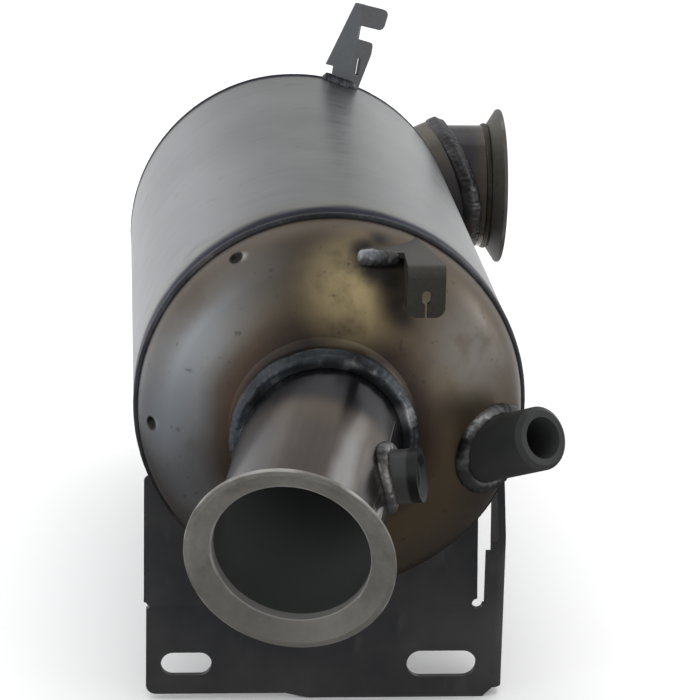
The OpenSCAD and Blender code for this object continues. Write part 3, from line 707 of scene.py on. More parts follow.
@dataclass(frozen=True)
class TintedPipe:
    """Drawn tube, cloudy and half bright, with a heat band at its weld and soot inside.

    Its drawn lines and its painted reflection bands are given by their angles round the axis, in
    radians.
    """

    name: str
    axis: Spindle
    bore: float
    weld: float
    dark: Colour
    light: Colour
    lines: tuple[float, ...] = ()
    reflection_bands: tuple[tuple[float, float, Colour], ...] = ()
    metallic: float = 0.95
    straw: Colour = (0.125, 0.098, 0.074)
    burnt: Colour = (0.040, 0.038, 0.042)
    soot: Colour = (0.040, 0.042, 0.041)
    ash_and_highlight: Colour = (0.150, 0.158, 0.154)

    def build(self) -> bpy.types.Material:
        """Makes the material.

        Returns:
            The material, with its colour, roughness and bump linked.
        """
        finish = Finisher(self.name, self.metallic, 0.24)
        clouds = finish.noise(22.0, 4.0)
        height = finish.along_axis(self.axis)
        turn = finish.round_axis(self.axis)
        drawn = finish.flat_noise(finish.times(turn, 16.0), finish.times(height, 14.0), 3.0)
        tone = finish.weigh((clouds, 0.75), (drawn, 0.25))
        base = finish.ramp(tone, [(0.32, self.dark), (0.68, self.light)])
        # Painted reflections: light and dark bands along the pipe by their angle round it, one of
        # them a bright highlight.
        for middle, reach, shade in self.reflection_bands:
            away = finish.math("ABSOLUTE", finish.minus(turn, middle))
            away = finish.plus(away, finish.swing(clouds, 0.3))
            base = finish.tint(base, finish.spread(away, reach, 0.05), 0.75, shade)
        wander = finish.plus(height, finish.swing(clouds, 0.008))
        straw = finish.spread(wander, self.weld + 0.034, self.weld + 0.012)
        base = finish.tint(base, straw, 0.5, self.straw)
        burnt = finish.spread(wander, self.weld + 0.015, self.weld + 0.003)
        base = finish.mix(burnt, base, self.burnt)
        inside = finish.spread(finish.off_axis(self.axis), self.bore + 0.0006, self.bore + 0.0003)
        depth = finish.spread(finish.math("ABSOLUTE", height), 0.004, 0.060)
        finish.colour(finish.mix(inside, base, finish.mix(depth, self.soot, self.ash_and_highlight)))
        finish.metal(finish.times(finish.minus(1.0, inside), self.metallic))
        finish.roughness(finish.weigh((clouds, 0.5), (inside, 2.0)), 0.16, 0.42)
        ridge = finish.times(drawn, 0.6)
        for line in self.lines:
            away = finish.math("ABSOLUTE", finish.minus(turn, line))
            ridge = finish.plus(ridge, finish.times(finish.spread(away, 0.035, 0.0), 4.0))
        finish.bump(ridge, 0.00006, 0.6)
        return finish.material


@dataclass(frozen=True)
class TurnedRing:
    """Turned flange with fine tool rings, painted shade toward its bottom, painted highlights on
    its rubbed-looking edges, and a painted highlight in its bore.
    """

    name: str
    axis: Spindle
    bore: float
    rim: float
    dark: Colour
    light: Colour
    rubbed_edge_highlight: Colour
    brown: Colour = (0.088, 0.074, 0.056)
    ash_and_highlight: Colour = (0.240, 0.236, 0.222)

    def build(self) -> bpy.types.Material:
        """Makes the material.

        Returns:
            The material, with its colour, roughness and bump linked.
        """
        finish = Finisher(self.name, 0.45, 0.5)
        clouds = finish.noise(30.0, 5.0)
        r = finish.off_axis(self.axis)
        rings = finish.math("SINE", finish.times(r, 9000.0))
        speckle = finish.noise(420.0, 2.0)
        tone = finish.weigh((clouds, 0.7), (speckle, 0.3))
        base = finish.ramp(tone, [(0.34, self.dark), (0.66, self.light)])
        patches = finish.spread(finish.noise(70.0, 5.0), 0.52, 0.68)
        base = finish.tint(base, patches, 0.45, self.brown)
        # Painted shade: the flange is darker toward the bottom.
        middle = self.axis.origin.z
        low = finish.spread(finish.level("Z"), middle + 0.010, middle - 0.045)
        base = finish.tint(base, low, 0.8, self.dark)
        # Painted highlights along the rim and bore edges, broken up by noise like patchy rubbed
        # metal.
        outer = finish.spread(r, self.rim - 0.0007, self.rim - 0.0001)
        inner = finish.spread(r, self.bore + 0.0011, self.bore + 0.0005)
        rubs_and_glints = finish.spread(finish.noise(45.0, 4.0), 0.48, 0.66)
        rubs_and_glints = finish.times(finish.math("MAXIMUM", outer, inner), rubs_and_glints)
        base = finish.tint(base, rubs_and_glints, 0.7, self.rubbed_edge_highlight)
        # Painted highlight: the flange's bore is painted a light grey.
        inside = finish.spread(r, self.bore + 0.0005, self.bore + 0.0002)
        finish.colour(finish.mix(inside, base, self.ash_and_highlight))
        finish.roughness(finish.plus(tone, inside), 0.4, 0.66)
        finish.bump(finish.plus(finish.times(rings, 0.3), speckle), 0.00004, 0.6)
        return finish.material


@dataclass(frozen=True)
class BlackSteel:
    """Black coated steel, semi-matte, with orange peel, dust and rubbed patches.

    A threaded tube is given by its axis, its bore's radius and where its bore ends.
    """

    name: str
    coat: Colour
    dust: Colour
    rough: tuple[float, float] = (0.34, 0.56)
    gloss: float = 0.36
    tube: tuple[Spindle, float, float] | None = None
    rub_and_highlight: Colour = (0.060, 0.059, 0.058)
    mouth: Colour = (0.002, 0.002, 0.002)
    thread: Colour = (0.042, 0.044, 0.043)

    def build(self) -> bpy.types.Material:
        """Makes the material.

        Returns:
            The material, with its colour, roughness and bump linked.
        """
        finish = Finisher(self.name, 0.0, self.rough[0])
        finish.shader.inputs["Specular IOR Level"].default_value = self.gloss
        clouds = finish.noise(20.0, 5.0)
        peel = finish.noise(700.0, 2.0)
        rubs_and_glints = finish.spread(finish.noise(90.0, 5.0, (1.0, 1.0, 0.35)), 0.6, 0.75)
        base = finish.ramp(clouds, [(0.35, self.coat), (0.72, self.dust)])
        base = finish.tint(base, rubs_and_glints, 0.35, self.rub_and_highlight)
        if self.tube:
            axis, bore, end = self.tube
            mouth = finish.spread(finish.along_axis(axis), end - 0.0034, end - 0.0022)
            base = finish.tint(base, mouth, 0.9, self.mouth)
            inside = finish.spread(finish.off_axis(axis), bore + 0.0002, bore + 0.00005)
            base = finish.mix(inside, base, self.thread)
        finish.colour(base)
        finish.roughness(finish.minus(clouds, finish.times(rubs_and_glints, 0.3)), *self.rough)
        finish.bump(peel, 0.00003, 0.5)
        return finish.material


@dataclass(frozen=True)
class WeldMetal:
    """Weld metal: cloudy grey with straw patches and bright glint spots, and painted highlights
    round given places.
    """

    name: str
    dark: Colour
    light: Colour
    bright: Colour
    glint: float
    painted_highlights: tuple[tuple[Triple, float], ...] = ()
    straw: Colour = (0.13, 0.098, 0.062)

    def build(self) -> bpy.types.Material:
        """Makes the material.

        Returns:
            The material, with its colour, roughness and bump linked.
        """
        finish = Finisher(self.name, 0.85, 0.4)
        clouds = finish.noise(60.0, 4.0)
        fine = finish.noise(900.0, 3.0)
        base = finish.ramp(clouds, [(0.34, self.dark), (0.66, self.light)])
        # Painted highlights: the weld is brightened round the given points.
        for spot, reach in self.painted_highlights:
            shown = finish.near(Vector(spot), reach)
            shown = finish.times(shown, finish.spread(clouds, 0.3, 0.5))
            base = finish.mix(shown, base, self.bright)
        straw = finish.spread(finish.noise(38.0, 2.0), 0.55, 0.7)
        base = finish.tint(base, straw, 0.35, self.straw)
        spots = finish.times(finish.spread(finish.noise(150.0, 3.0), 0.62, 0.72), self.glint)
        finish.colour(finish.mix(spots, base, self.bright))
        finish.roughness(finish.minus(fine, finish.times(spots, 0.5)), 0.28, 0.56)
        finish.bump(fine, 0.00005, 0.7)
        return finish.material


@dataclass(frozen=True)
class FilterFace:
    """Porous ceramic with a fine grid of square cells across the canister's axis, the cells painted
    dark as shade in their open channels.
    """

    name: str
    wall: Colour
    cell_shade: Colour
    soot: Colour = (0.05, 0.048, 0.045)
    pitch: float = 1.6 * MM

    def build(self) -> bpy.types.Material:
        """Makes the material.

        Returns:
            The material, with its colour, roughness and bump linked.
        """
        finish = Finisher(self.name, 0.0, 0.85)
        waves = [finish.math("PINGPONG", finish.level(key), self.pitch / 2) for key in ("X", "Z")]
        walls = finish.math("MAXIMUM", *(finish.spread(wave, 0.00024, 0.00014) for wave in waves))
        clouds = finish.noise(40.0, 4.0)
        # Painted shade: the cells are dark, standing in for the depth of the open channels.
        finish.colour(finish.tint(finish.mix(walls, self.cell_shade, self.wall), clouds, 0.4, self.soot))
        finish.roughness(clouds, 0.78, 0.92)
        finish.bump(finish.plus(walls, finish.noise(1500.0, 2.0)), 0.0002, 0.7)
        return finish.material


@dataclass(frozen=True)
class FibreMat:
    """Pressed mineral fibre."""

    name: str
    dark: Colour
    light: Colour

    def build(self) -> bpy.types.Material:
        """Makes the material.

        Returns:
            The material, with its colour, roughness and bump linked.
        """
        finish = Finisher(self.name, 0.0, 0.9)
        fibres = finish.noise(300.0, 5.0, (1.0, 0.2, 1.0))
        finish.colour(finish.ramp(fibres, [(0.3, self.dark), (0.7, self.light)]))
        finish.roughness(fibres, 0.82, 0.96)
        finish.bump(fibres, 0.0003, 0.8)
        return finish.material


# Meshes


def signed_volume(mesh: bpy.types.Mesh) -> float:
    """Signed volume of a closed mesh: negative where its faces point inwards.

    Args:
        mesh: the mesh.

    Returns:
        The volume, in cubic metres.
    """
    total = 0.0
    points = [v.co for v in mesh.vertices]
    for face in mesh.polygons:
        first, *rest = face.vertices
        for a, b in zip(rest, rest[1:]):
            total += points[first].dot(points[a].cross(points[b]))
    return total / 6.0


def ring_faces(count: int, size: int) -> Faces:
    """Faces of a ring that is closed both ways.

    Args:
        count: how many sections go round it.
        size: points in each section.

    Returns:
        A face between each two neighbours of each two sections.
    """
    return [
        (i * size + k, i * size + (k + 1) % size, j * size + (k + 1) % size, j * size + k)
        for i, j in ((i, (i + 1) % count) for i in range(count))
        for k in range(size)
    ]


def closed_piece(
    name: str, points: list[Vector], faces: Faces, stored: dict[str, list[float]]
) -> bpy.types.Object:
    """Adds a closed mesh to the scene.

    Args:
        name: its name.
        points: its points.
        faces: its faces, all turned one way.
        stored: the floats that its points carry, by name.

    Returns:
        The object, with its faces turned outwards.
    """
    mesh = bpy.data.meshes.new(name)
    mesh.from_pydata(points, [], faces)
    for key, values in stored.items():
        mesh.attributes.new(key, "FLOAT", "POINT").data.foreach_set("value", values)
    mesh.update()
    if signed_volume(mesh) < 0.0:
        mesh.flip_normals()
    piece = bpy.data.objects.new(name, mesh)
    bpy.context.scene.collection.objects.link(piece)
    return piece


# Weld beads


def ripple_tree() -> bpy.types.GeometryNodeTree:
    """Builds the Geometry Nodes tree that raises a bead's ripples.

    Returns:
        The tree. It reads the run along the bead, the place across it and how far it may swell.
    """
    tree = bpy.data.node_groups.new("weld_ripples", "GeometryNodeTree")
    face = tree.interface
    face.new_socket("Bead", in_out="INPUT", socket_type="NodeSocketGeometry")
    for name, value in (
        ("Ripple pitch", 0.0016),
        ("Ripple height", 0.0005),
        ("Crescent", 0.9),
        ("Wander", 1.7),
        ("Lump size", 0.006),
        ("Lump height", 0.0004),
        ("Strands", 2.5),
        ("Strand height", 0.0),
    ):
        socket = face.new_socket(name, in_out="INPUT", socket_type="NodeSocketFloat")
        socket.default_value = value
    face.new_socket("Finish", in_out="INPUT", socket_type="NodeSocketMaterial")
    face.new_socket("Rippled bead", in_out="OUTPUT", socket_type="NodeSocketGeometry")
    nodes, links = tree.nodes, tree.links
    given = nodes.new("NodeGroupInput")

    def put(socket: Socket, value: Any) -> None:
        """Links a socket or sets its value.

        Args:
            socket: the socket.
            value: its value, or the socket to link from.
        """
        if isinstance(value, Socket):
            links.new(value, socket)
        else:
            socket.default_value = value

    def calc(operation: str, *values: Any) -> Socket:
        """Adds a Math node.

        Args:
            operation: what it works out.
            values: its inputs in order, each a value or a socket.

        Returns:
            Its result.
        """
        node = nodes.new("ShaderNodeMath")
        node.operation = operation
        for socket, value in zip(node.inputs, values):
            put(socket, value)
        return node.outputs[0]

    def stored(name: str) -> Socket:
        """Reads a float that the bead's mesh carries.

        Args:
            name: the float's name.

        Returns:
            Its value.
        """
        node = nodes.new("GeometryNodeInputNamedAttribute")
        node.data_type = "FLOAT"
        node.inputs["Name"].default_value = name
        return node.outputs["Attribute"]

    def lumps(scale: Any) -> Socket:
        """Adds noise about zero over the bead.

        Args:
            scale: waves to the metre.

        Returns:
            The noise's value.
        """
        node = nodes.new("ShaderNodeTexNoise")
        put(node.inputs["Scale"], scale)
        node.inputs["Detail"].default_value = 2.0
        return calc("SUBTRACT", node.outputs[0], 0.5)

    across = stored("across")
    size = calc("DIVIDE", 1.0, given.outputs["Lump size"])
    phase = calc("DIVIDE", stored("run"), given.outputs["Ripple pitch"])
    bow = calc("MULTIPLY", given.outputs["Crescent"], calc("MULTIPLY", across, across))
    phase = calc("ADD", phase, bow)
    phase = calc("ADD", phase, calc("MULTIPLY", given.outputs["Wander"], lumps(size)))
    wave = calc("SINE", calc("MULTIPLY", phase, math.tau))
    crest = calc("POWER", calc("MULTIPLY_ADD", wave, 0.5, 0.5), 1.4)
    rise = calc("MULTIPLY", crest, given.outputs["Ripple height"])
    lump = calc("MULTIPLY", lumps(calc("MULTIPLY", size, 1.7)), given.outputs["Lump height"])
    rise = calc("ADD", rise, lump)
    strand = calc("MULTIPLY", calc("MULTIPLY", across, given.outputs["Strands"]), math.pi)
    sway = calc("MULTIPLY", lumps(calc("MULTIPLY", size, 0.3)), 9.0)
    strand = calc("SINE", calc("ADD", strand, sway))
    rise = calc("ADD", rise, calc("MULTIPLY", strand, given.outputs["Strand height"]))
    rise = calc("MULTIPLY", rise, stored("swell"))
    lift = nodes.new("ShaderNodeVectorMath")
    lift.operation = "SCALE"
    links.new(nodes.new("GeometryNodeInputNormal").outputs[0], lift.inputs[0])
    links.new(rise, lift.inputs["Scale"])
    moved = nodes.new("GeometryNodeSetPosition")
    links.new(given.outputs["Bead"], moved.inputs["Geometry"])
    links.new(lift.outputs[0], moved.inputs["Offset"])
    smooth = nodes.new("GeometryNodeSetShadeSmooth")
    links.new(moved.outputs[0], smooth.inputs["Geometry"])
    real = nodes.new("GeometryNodeRealizeInstances")
    links.new(smooth.outputs[0], real.inputs[0])
    dressed = nodes.new("GeometryNodeSetMaterial")
    links.new(real.outputs[0], dressed.inputs["Geometry"])
    links.new(given.outputs["Finish"], dressed.inputs["Material"])
    links.new(dressed.outputs[0], nodes.new("NodeGroupOutput").inputs[0])
    return tree


@dataclass(kw_only=True)
class Weld:
    """One weld that shows in place of a plain weld solid."""

    node: str
    tone: Beads
    pitch: float
    height: float
    lump: float
    crescent: float = 0.9
    strand: float = 0.0

    def step(self) -> float:
        """The ripple pitch."""
        return self.pitch

    def loft(self) -> bpy.types.Object:
        """Builds the smooth weld; each kind of weld has its own way."""
        raise NotImplementedError

    def build(
        self, tree: bpy.types.GeometryNodeTree, finish: bpy.types.Material
    ) -> bpy.types.Object:
        """Lofts the weld, raises its ripples and seats it in place of its solid.

        Args:
            tree: the ripple tree.
            finish: the weld's material.

        Returns:
            The finished piece.
        """
        weld = self.loft()
        values = {
            "Ripple pitch": self.step(),
            "Ripple height": self.height,
            "Crescent": self.crescent,
            "Lump height": self.lump,
            "Strand height": self.strand,
            "Finish": finish,
        }
        modifier = weld.modifiers.new("ripples", "NODES")
        modifier.node_group = tree
        for item in tree.interface.items_tree:
            if item.in_out == "INPUT" and item.name in values:
                modifier[item.identifier] = values[item.name]
        graph = bpy.context.evaluated_depsgraph_get()
        mesh = bpy.data.meshes.new_from_object(weld.evaluated_get(graph))
        weld.modifiers.remove(modifier)
        weld.data = mesh
        mesh.name = weld.name
        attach(weld, BODY)
        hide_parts(self.node)
        return weld


@dataclass(kw_only=True)
class Bead(Weld):
    """A weld bead that runs right round a spindle."""

    axis: Spindle
    radius: float
    section: Callable[[float], Section]
    per_ripple: int = 6

    def ripples(self) -> int:
        """How many whole ripples go round."""
        return max(8, round(math.tau * self.radius / self.pitch))

    def step(self) -> float:
        """The ripple pitch that closes the ring."""
        return math.tau * self.radius / self.ripples()

    def loft(self) -> bpy.types.Object:
        """Builds the smooth bead as a closed ring of sections.

        Returns:
            The object, with the run, the place across and the swell stored on its points.
        """
        count = self.ripples() * self.per_ripple
        points: list[Vector] = []
        stored: dict[str, list[float]] = {"run": [], "across": [], "swell": []}
        size = 0
        for i in range(count):
            angle = math.tau * i / count
            ring = self.section(angle)
            size = len(ring)
            shown = [k for k, (_, _, s) in enumerate(ring) if s > 0.0] or [0]
            middle = (shown[0] + shown[-1]) / 2
            half = max(1.0, (shown[-1] - shown[0]) / 2)
            for k, (r, h, s) in enumerate(ring):
                points.append(self.axis.point(angle, r, h))
                stored["run"].append(self.step() * self.ripples() * i / count)
                stored["across"].append(max(-1.0, min(1.0, (k - middle) / half)))
                stored["swell"].append(s)
        return closed_piece("bead_" + self.node, points, ring_faces(count, size), stored)


@dataclass(kw_only=True)
class Stitch(Weld):
    """A short straight weld run with round ends."""

    start: Triple
    end: Triple
    radius: float
    sides: int = 32
    cap_steps: int = 8
    steps: int = 40

    def loft(self) -> bpy.types.Object:
        """Builds the smooth run between two poles.

        Returns:
            The object, with the run, the place across and the swell stored on its points.
        """
        start, end = Vector(self.start), Vector(self.end)
        axis, length = Spindle.through(start, end - start), (end - start).length
        turns = [math.pi / 2 * i / self.cap_steps for i in range(1, self.cap_steps + 1)]
        caps = [(self.radius * math.cos(t), self.radius * math.sin(t)) for t in turns]
        stations = [(-h, r) for h, r in caps]
        stations += [(length * i / self.steps, self.radius) for i in range(1, self.steps)]
        stations += [(length + h, r) for h, r in reversed(caps)]
        rows = [(-self.radius, 0.0, 0.0)]
        points = [axis.point(0.0, 0.0, -self.radius)]
        for h, r in stations:
            for k in range(self.sides):
                angle = math.tau * k / self.sides
                points.append(axis.point(angle, r, h))
                rows.append((h, math.sin(angle), min(1.0, r / self.radius)))
        points.append(axis.point(0.0, 0.0, length + self.radius))
        rows.append((length + self.radius, 0.0, 0.0))
        last, n = len(points) - 1, self.sides
        faces: Faces = [(0, 1 + (k + 1) % n, 1 + k) for k in range(n)]
        for i in range(len(stations) - 1):
            low, high = 1 + i * n, 1 + (i + 1) * n
            faces += [(low + k, low + (k + 1) % n, high + (k + 1) % n, high + k) for k in range(n)]
        base = last - n
        faces += [(last, base + k, base + (k + 1) % n) for k in range(n)]
        run, across, swell = (list(column) for column in zip(*rows))
        stored = {"run": run, "across": across, "swell": swell}
        return closed_piece("bead_" + self.node, points, faces, stored)


def bead_section(r: float, h: float, wide: float, tall: float, floor: Floor, steps: int) -> Section:
    """An oval bead section that is held just under the surfaces it lies on.

    Args:
        r: distance of its middle from the axis.
        h: height of its middle along the axis.
        wide: half its width, away from the axis.
        tall: half its height, along the axis.
        floor: moves a point that is buried up to just under the surface.
        steps: points round the section.

    Returns:
        The section, each point with how far it may swell, which is 0 where it is buried.
    """
    points: Section = []
    for k in range(steps):
        turn = math.pi - math.tau * k / steps
        raw = (r + wide * math.cos(turn), h + tall * math.sin(turn))
        held = floor(*raw)
        moved = math.hypot(held[0] - raw[0], held[1] - raw[1])
        points.append((*held, 0.0 if moved > 1e-7 else 1.0))
    start = next((k for k in range(steps) if points[k - 1][2] == 0.0 and points[k][2] > 0.0), 0)
    points = points[start:] + points[:start]
    shown = sum(1 for _, _, free in points if free > 0.0)

    def swell(k: int) -> float:
        """How far a shown point may swell: most in the middle, little at the toes."""
        return math.sin(math.pi * (k + 0.6) / (shown + 0.2)) ** 0.5

    return [(x, y, swell(k) if free > 0.0 else 0.0) for k, (x, y, free) in enumerate(points)]


@dataclass
class WeldSet:
    """All the beads that show on the filter."""

    canister: Canister
    sink: float = 0.5 * MM
    outlet_pipe: float = 30.75 * MM
    inlet_pipe: float = 30.0 * MM
    inlet_collar: float = 31.65 * MM
    inlet_rim: float = 86.0 * MM
    inlet_slope: float = math.radians(4.0)
    flange_length: float = 8.0 * MM
    flange_dish: float = 4.3 * MM
    tube: float = 12.5 * MM
    boss: float = 10.25 * MM

    def flange_face(self, bore: str) -> Spindle:
        """A pipe's frame from its flange's face, pointing out, by its bore's mount."""
        middle, along, _, length = mount(bore)
        return Spindle.through(middle + along * (length / 2 + self.flange_dish), along)

    def outlet(self) -> Spindle:
        """The outlet pipe's frame, from the flange's face, pointing out."""
        return self.flange_face("outlet_bore")

    def inlet(self) -> Spindle:
        """The inlet pipe's frame, from the canister's axis, pointing out."""
        middle, along, _, _ = mount("inlet_bore")
        return Spindle.through(Vector((self.canister.seam.x, middle.y, middle.z)), along)

    def inlet_face(self) -> Spindle:
        """The inlet pipe's frame, from the flange's face, pointing out."""
        return self.flange_face("inlet_bore")

    def collar_bead(self) -> Bead:
        """Lays out the heavy bead between the outlet collar and the leaning pipe.

        Returns:
            The bead.
        """
        axis, pipe = self.canister.collar(), self.outlet()
        lean = axis.along.angle(pipe.along)
        collar = (self.outlet_pipe + 0.15 * MM) / math.cos(lean) + 1.2 * MM
        up = axis.along - pipe.along * axis.along.dot(pipe.along)

        def pipe_side(angle: float, h: float) -> float:
            """Measures how far the pipe's surface lies from the collar's axis.

            Args:
                angle: the angle round the collar.
                h: the height above its rim.

            Returns:
                The distance, in metres.
            """
            out = axis.outward(angle)
            flat = out - pipe.along * out.dot(pipe.along)
            a, b = flat.dot(flat), h * flat.dot(up)
            c = h * h * up.dot(up) - self.outlet_pipe**2
            return (-b + math.sqrt(b * b - a * c)) / a

        def section(angle: float) -> Section:
            """Shapes the bead at an angle.

            Args:
                angle: the angle round the collar.

            Returns:
                The section.
            """

            def floor(r: float, h: float) -> tuple[float, float]:
                """Holds the bead just under the pipe and the collar."""
                low = pipe_side(angle, h) if h > -self.sink else collar
                return max(r, low - self.sink), h

            return bead_section(collar - 2.4 * MM, 3.0 * MM, 4.5 * MM, 4.5 * MM, floor, 28)

        return Bead(
            node="outlet_collar_weld",
            tone=Beads.NECK,
            axis=axis,
            radius=collar,
            section=section,
            pitch=3.1 * MM,
            height=0.1 * MM,
            lump=1.3 * MM,
            strand=0.6 * MM,
            per_ripple=8,
        )

    def seam_bead(self, node: str, axis: Spindle) -> Bead:
        """A narrow bead round one rim of the shell.

        Args:
            node: the solid that it stands for.
            axis: the canister's axis from that rim, pointing away from the shell.

        Returns:
            The bead.
        """
        cap = self.canister.cap_radius

        def floor(r: float, h: float) -> tuple[float, float]:
            """Holds the bead just under the cap and the shell's edge."""
            return max(r, cap - self.sink), max(h, -self.sink)

        section = bead_section(self.canister.radius - 1.9 * MM, 0.0, 2.1 * MM, 2.1 * MM, floor, 16)
        return Bead(
            node=node,
            tone=Beads.SEAM,
            axis=axis,
            radius=self.canister.radius,
            section=lambda angle: section,
            pitch=1.5 * MM,
            height=0.08 * MM,
            lump=0.35 * MM,
            per_ripple=5,
        )

    def butt_bead(self, node: str, face: Spindle, pipe: float) -> Bead:
        """A small bead between a pipe and its flange.

        Args:
            node: the solid that it stands for.
            face: the pipe's frame from the flange's face, pointing out.
            pipe: the pipe's radius.

        Returns:
            The bead.
        """

        def floor(r: float, h: float) -> tuple[float, float]:
            """Holds the bead just under the pipe."""
            return max(r, pipe - self.sink), h

        section = bead_section(pipe, -self.flange_length, 0.9 * MM, 1.5 * MM, floor, 14)
        return Bead(
            node=node,
            tone=Beads.BUTT,
            axis=face,
            radius=pipe,
            section=lambda angle: section,
            pitch=1.4 * MM,
            height=0.15 * MM,
            lump=0.2 * MM,
            per_ripple=5,
        )

    def inlet_bead(self) -> Bead:
        """Lays out the bead that follows the inlet collar's saddle rim.

        Returns:
            The bead.
        """
        axis = self.inlet()
        above = axis.origin.z - self.canister.seam.z

        def section(angle: float) -> Section:
            """Shapes the bead at an angle.

            Args:
                angle: the angle round the inlet pipe.

            Returns:
                The section.
            """
            out = axis.outward(angle) * self.inlet_collar
            around = self.inlet_rim - out.y * math.tan(self.inlet_slope)
            rim = math.sqrt(around**2 - (above + out.z) ** 2)

            def floor(r: float, h: float) -> tuple[float, float]:
                """Holds the bead just under the pipe and the collar."""
                low = self.inlet_pipe if h > rim else self.inlet_collar
                return max(r, low - self.sink), h

            r, h = self.inlet_collar - 0.8 * MM, rim + 0.6 * MM
            return bead_section(r, h, 2.8 * MM, 4.6 * MM, floor, 26)

        return Bead(
            node="inlet_collar_weld",
            tone=Beads.FEED,
            axis=axis,
            radius=self.inlet_collar,
            section=section,
            pitch=2.4 * MM,
            height=0.15 * MM,
            lump=1.2 * MM,
            strand=0.3 * MM,
        )

    def tube_bead(self) -> Bead:
        """Lays out the ragged hand-laid bead round the sensor tube's foot on the dome.

        Returns:
            The bead.
        """
        middle, along, _, _ = mount("tube_thread")
        axis = Spindle.through(middle, along)

        def foot(angle: float, r: float) -> float:
            """Finds by halving where the dome lies along the tube.

            Args:
                angle: the angle round the tube.
                r: the distance from its axis.

            Returns:
                The height, in metres.
            """
            low, high = -60.0 * MM, 10.0 * MM
            for _ in range(24):
                half = (low + high) / 2
                if self.canister.above_dome(axis.point(angle, r, half)) > 0.0:
                    high = half
                else:
                    low = half
            return high

        def section(angle: float) -> Section:
            """Shapes the bead at an angle, heavier on the upper left.

            Args:
                angle: the angle round the tube.

            Returns:
                The section.
            """
            heavy = 1.0 + 0.55 * max(0.0, math.cos(angle - math.radians(150.0))) ** 2
            base = foot(angle, self.tube + 1.5 * MM)
            slope = (foot(angle, self.tube + 4.0 * MM) - base) / (2.5 * MM)

            def floor(r: float, h: float) -> tuple[float, float]:
                """Holds the bead just under the tube and the dome."""
                r = max(r, self.tube - self.sink)
                return r, max(h, base + slope * (r - self.tube - 1.5 * MM) - self.sink)

            return bead_section(self.tube, base, 3.7 * MM * heavy, 3.9 * MM * heavy, floor, 22)

        return Bead(
            node="sensor_tube_weld",
            tone=Beads.HAND,
            axis=axis,
            radius=self.tube,
            section=section,
            pitch=2.7 * MM,
            height=0.3 * MM,
            lump=2.2 * MM,
            per_ripple=8,
        )

    def boss_bead(self) -> Bead:
        """Lays out the hand-laid bead round the boss on the outlet pipe.

        Returns:
            The bead.
        """
        middle, along, _, _ = mount("boss_thread")
        pipe = self.outlet()
        level = (middle - pipe.origin).dot(pipe.along)
        axis = Spindle.through(pipe.origin + pipe.along * level, along)
        cross = axis.along.cross(pipe.along)

        def saddle(angle: float, r: float) -> float:
            """Height of the pipe's surface along the boss."""
            return math.sqrt(self.outlet_pipe**2 - (r * axis.outward(angle).dot(cross)) ** 2)

        def section(angle: float) -> Section:
            """Shapes the bead at an angle.

            Args:
                angle: the angle round the boss.

            Returns:
                The section.
            """

            def floor(r: float, h: float) -> tuple[float, float]:
                """Holds the bead just under the boss and the pipe."""
                r = max(r, self.boss - self.sink)
                return r, max(h, saddle(angle, r) - self.sink)

            return bead_section(self.boss, saddle(angle, self.boss), 3.3 * MM, 2.9 * MM, floor, 20)

        return Bead(
            node="sensor_boss_weld",
            tone=Beads.HAND,
            axis=axis,
            radius=self.boss,
            section=section,
            pitch=2.2 * MM,
            height=0.3 * MM,
            lump=1.6 * MM,
            per_ripple=8,
        )

    def tab_stitch(self) -> Stitch:
        """The short run that holds the cap bracket's foot to the dome."""
        return Stitch(
            node="cap_bracket_weld",
            tone=Beads.STITCH,
            start=(0.0136, -0.0380, 0.1836),
            end=(0.0245, -0.0376, 0.1832),
            radius=3.1 * MM,
            pitch=2.3 * MM,
            height=0.2 * MM,
            lump=1.9 * MM,
        )

    def clip_stitch(self) -> Stitch:
        """The short run along the rear bracket's foot on the shell."""
        return Stitch(
            node="rear_bracket_weld",
            tone=Beads.STITCH,
            start=(0.0188, 0.2584, 0.1940),
            end=(0.0290, 0.2529, 0.1912),
            radius=2.9 * MM,
            pitch=2.1 * MM,
            height=0.2 * MM,
            lump=1.9 * MM,
        )

    def beads(self) -> list[Weld]:
        """Lists every weld.

        Returns:
            The welds, in the order in which they are laid.
        """
        seam, length = self.canister.seam, self.canister.length
        ahead = Spindle.through(seam, Vector((0.0, -1.0, 0.0)))
        behind = Spindle.through(seam + Vector((0.0, length, 0.0)), Vector((0.0, 1.0, 0.0)))
        return [
            self.collar_bead(),
            self.seam_bead("outlet_seam_weld", ahead),
            self.seam_bead("inlet_seam_weld", behind),
            self.butt_bead("outlet_flange_weld", self.outlet(), self.outlet_pipe),
            self.butt_bead("inlet_flange_weld", self.inlet_face(), self.inlet_pipe),
            self.inlet_bead(),
            self.tube_bead(),
            self.boss_bead(),
            self.tab_stitch(),
            self.clip_stitch(),
        ]

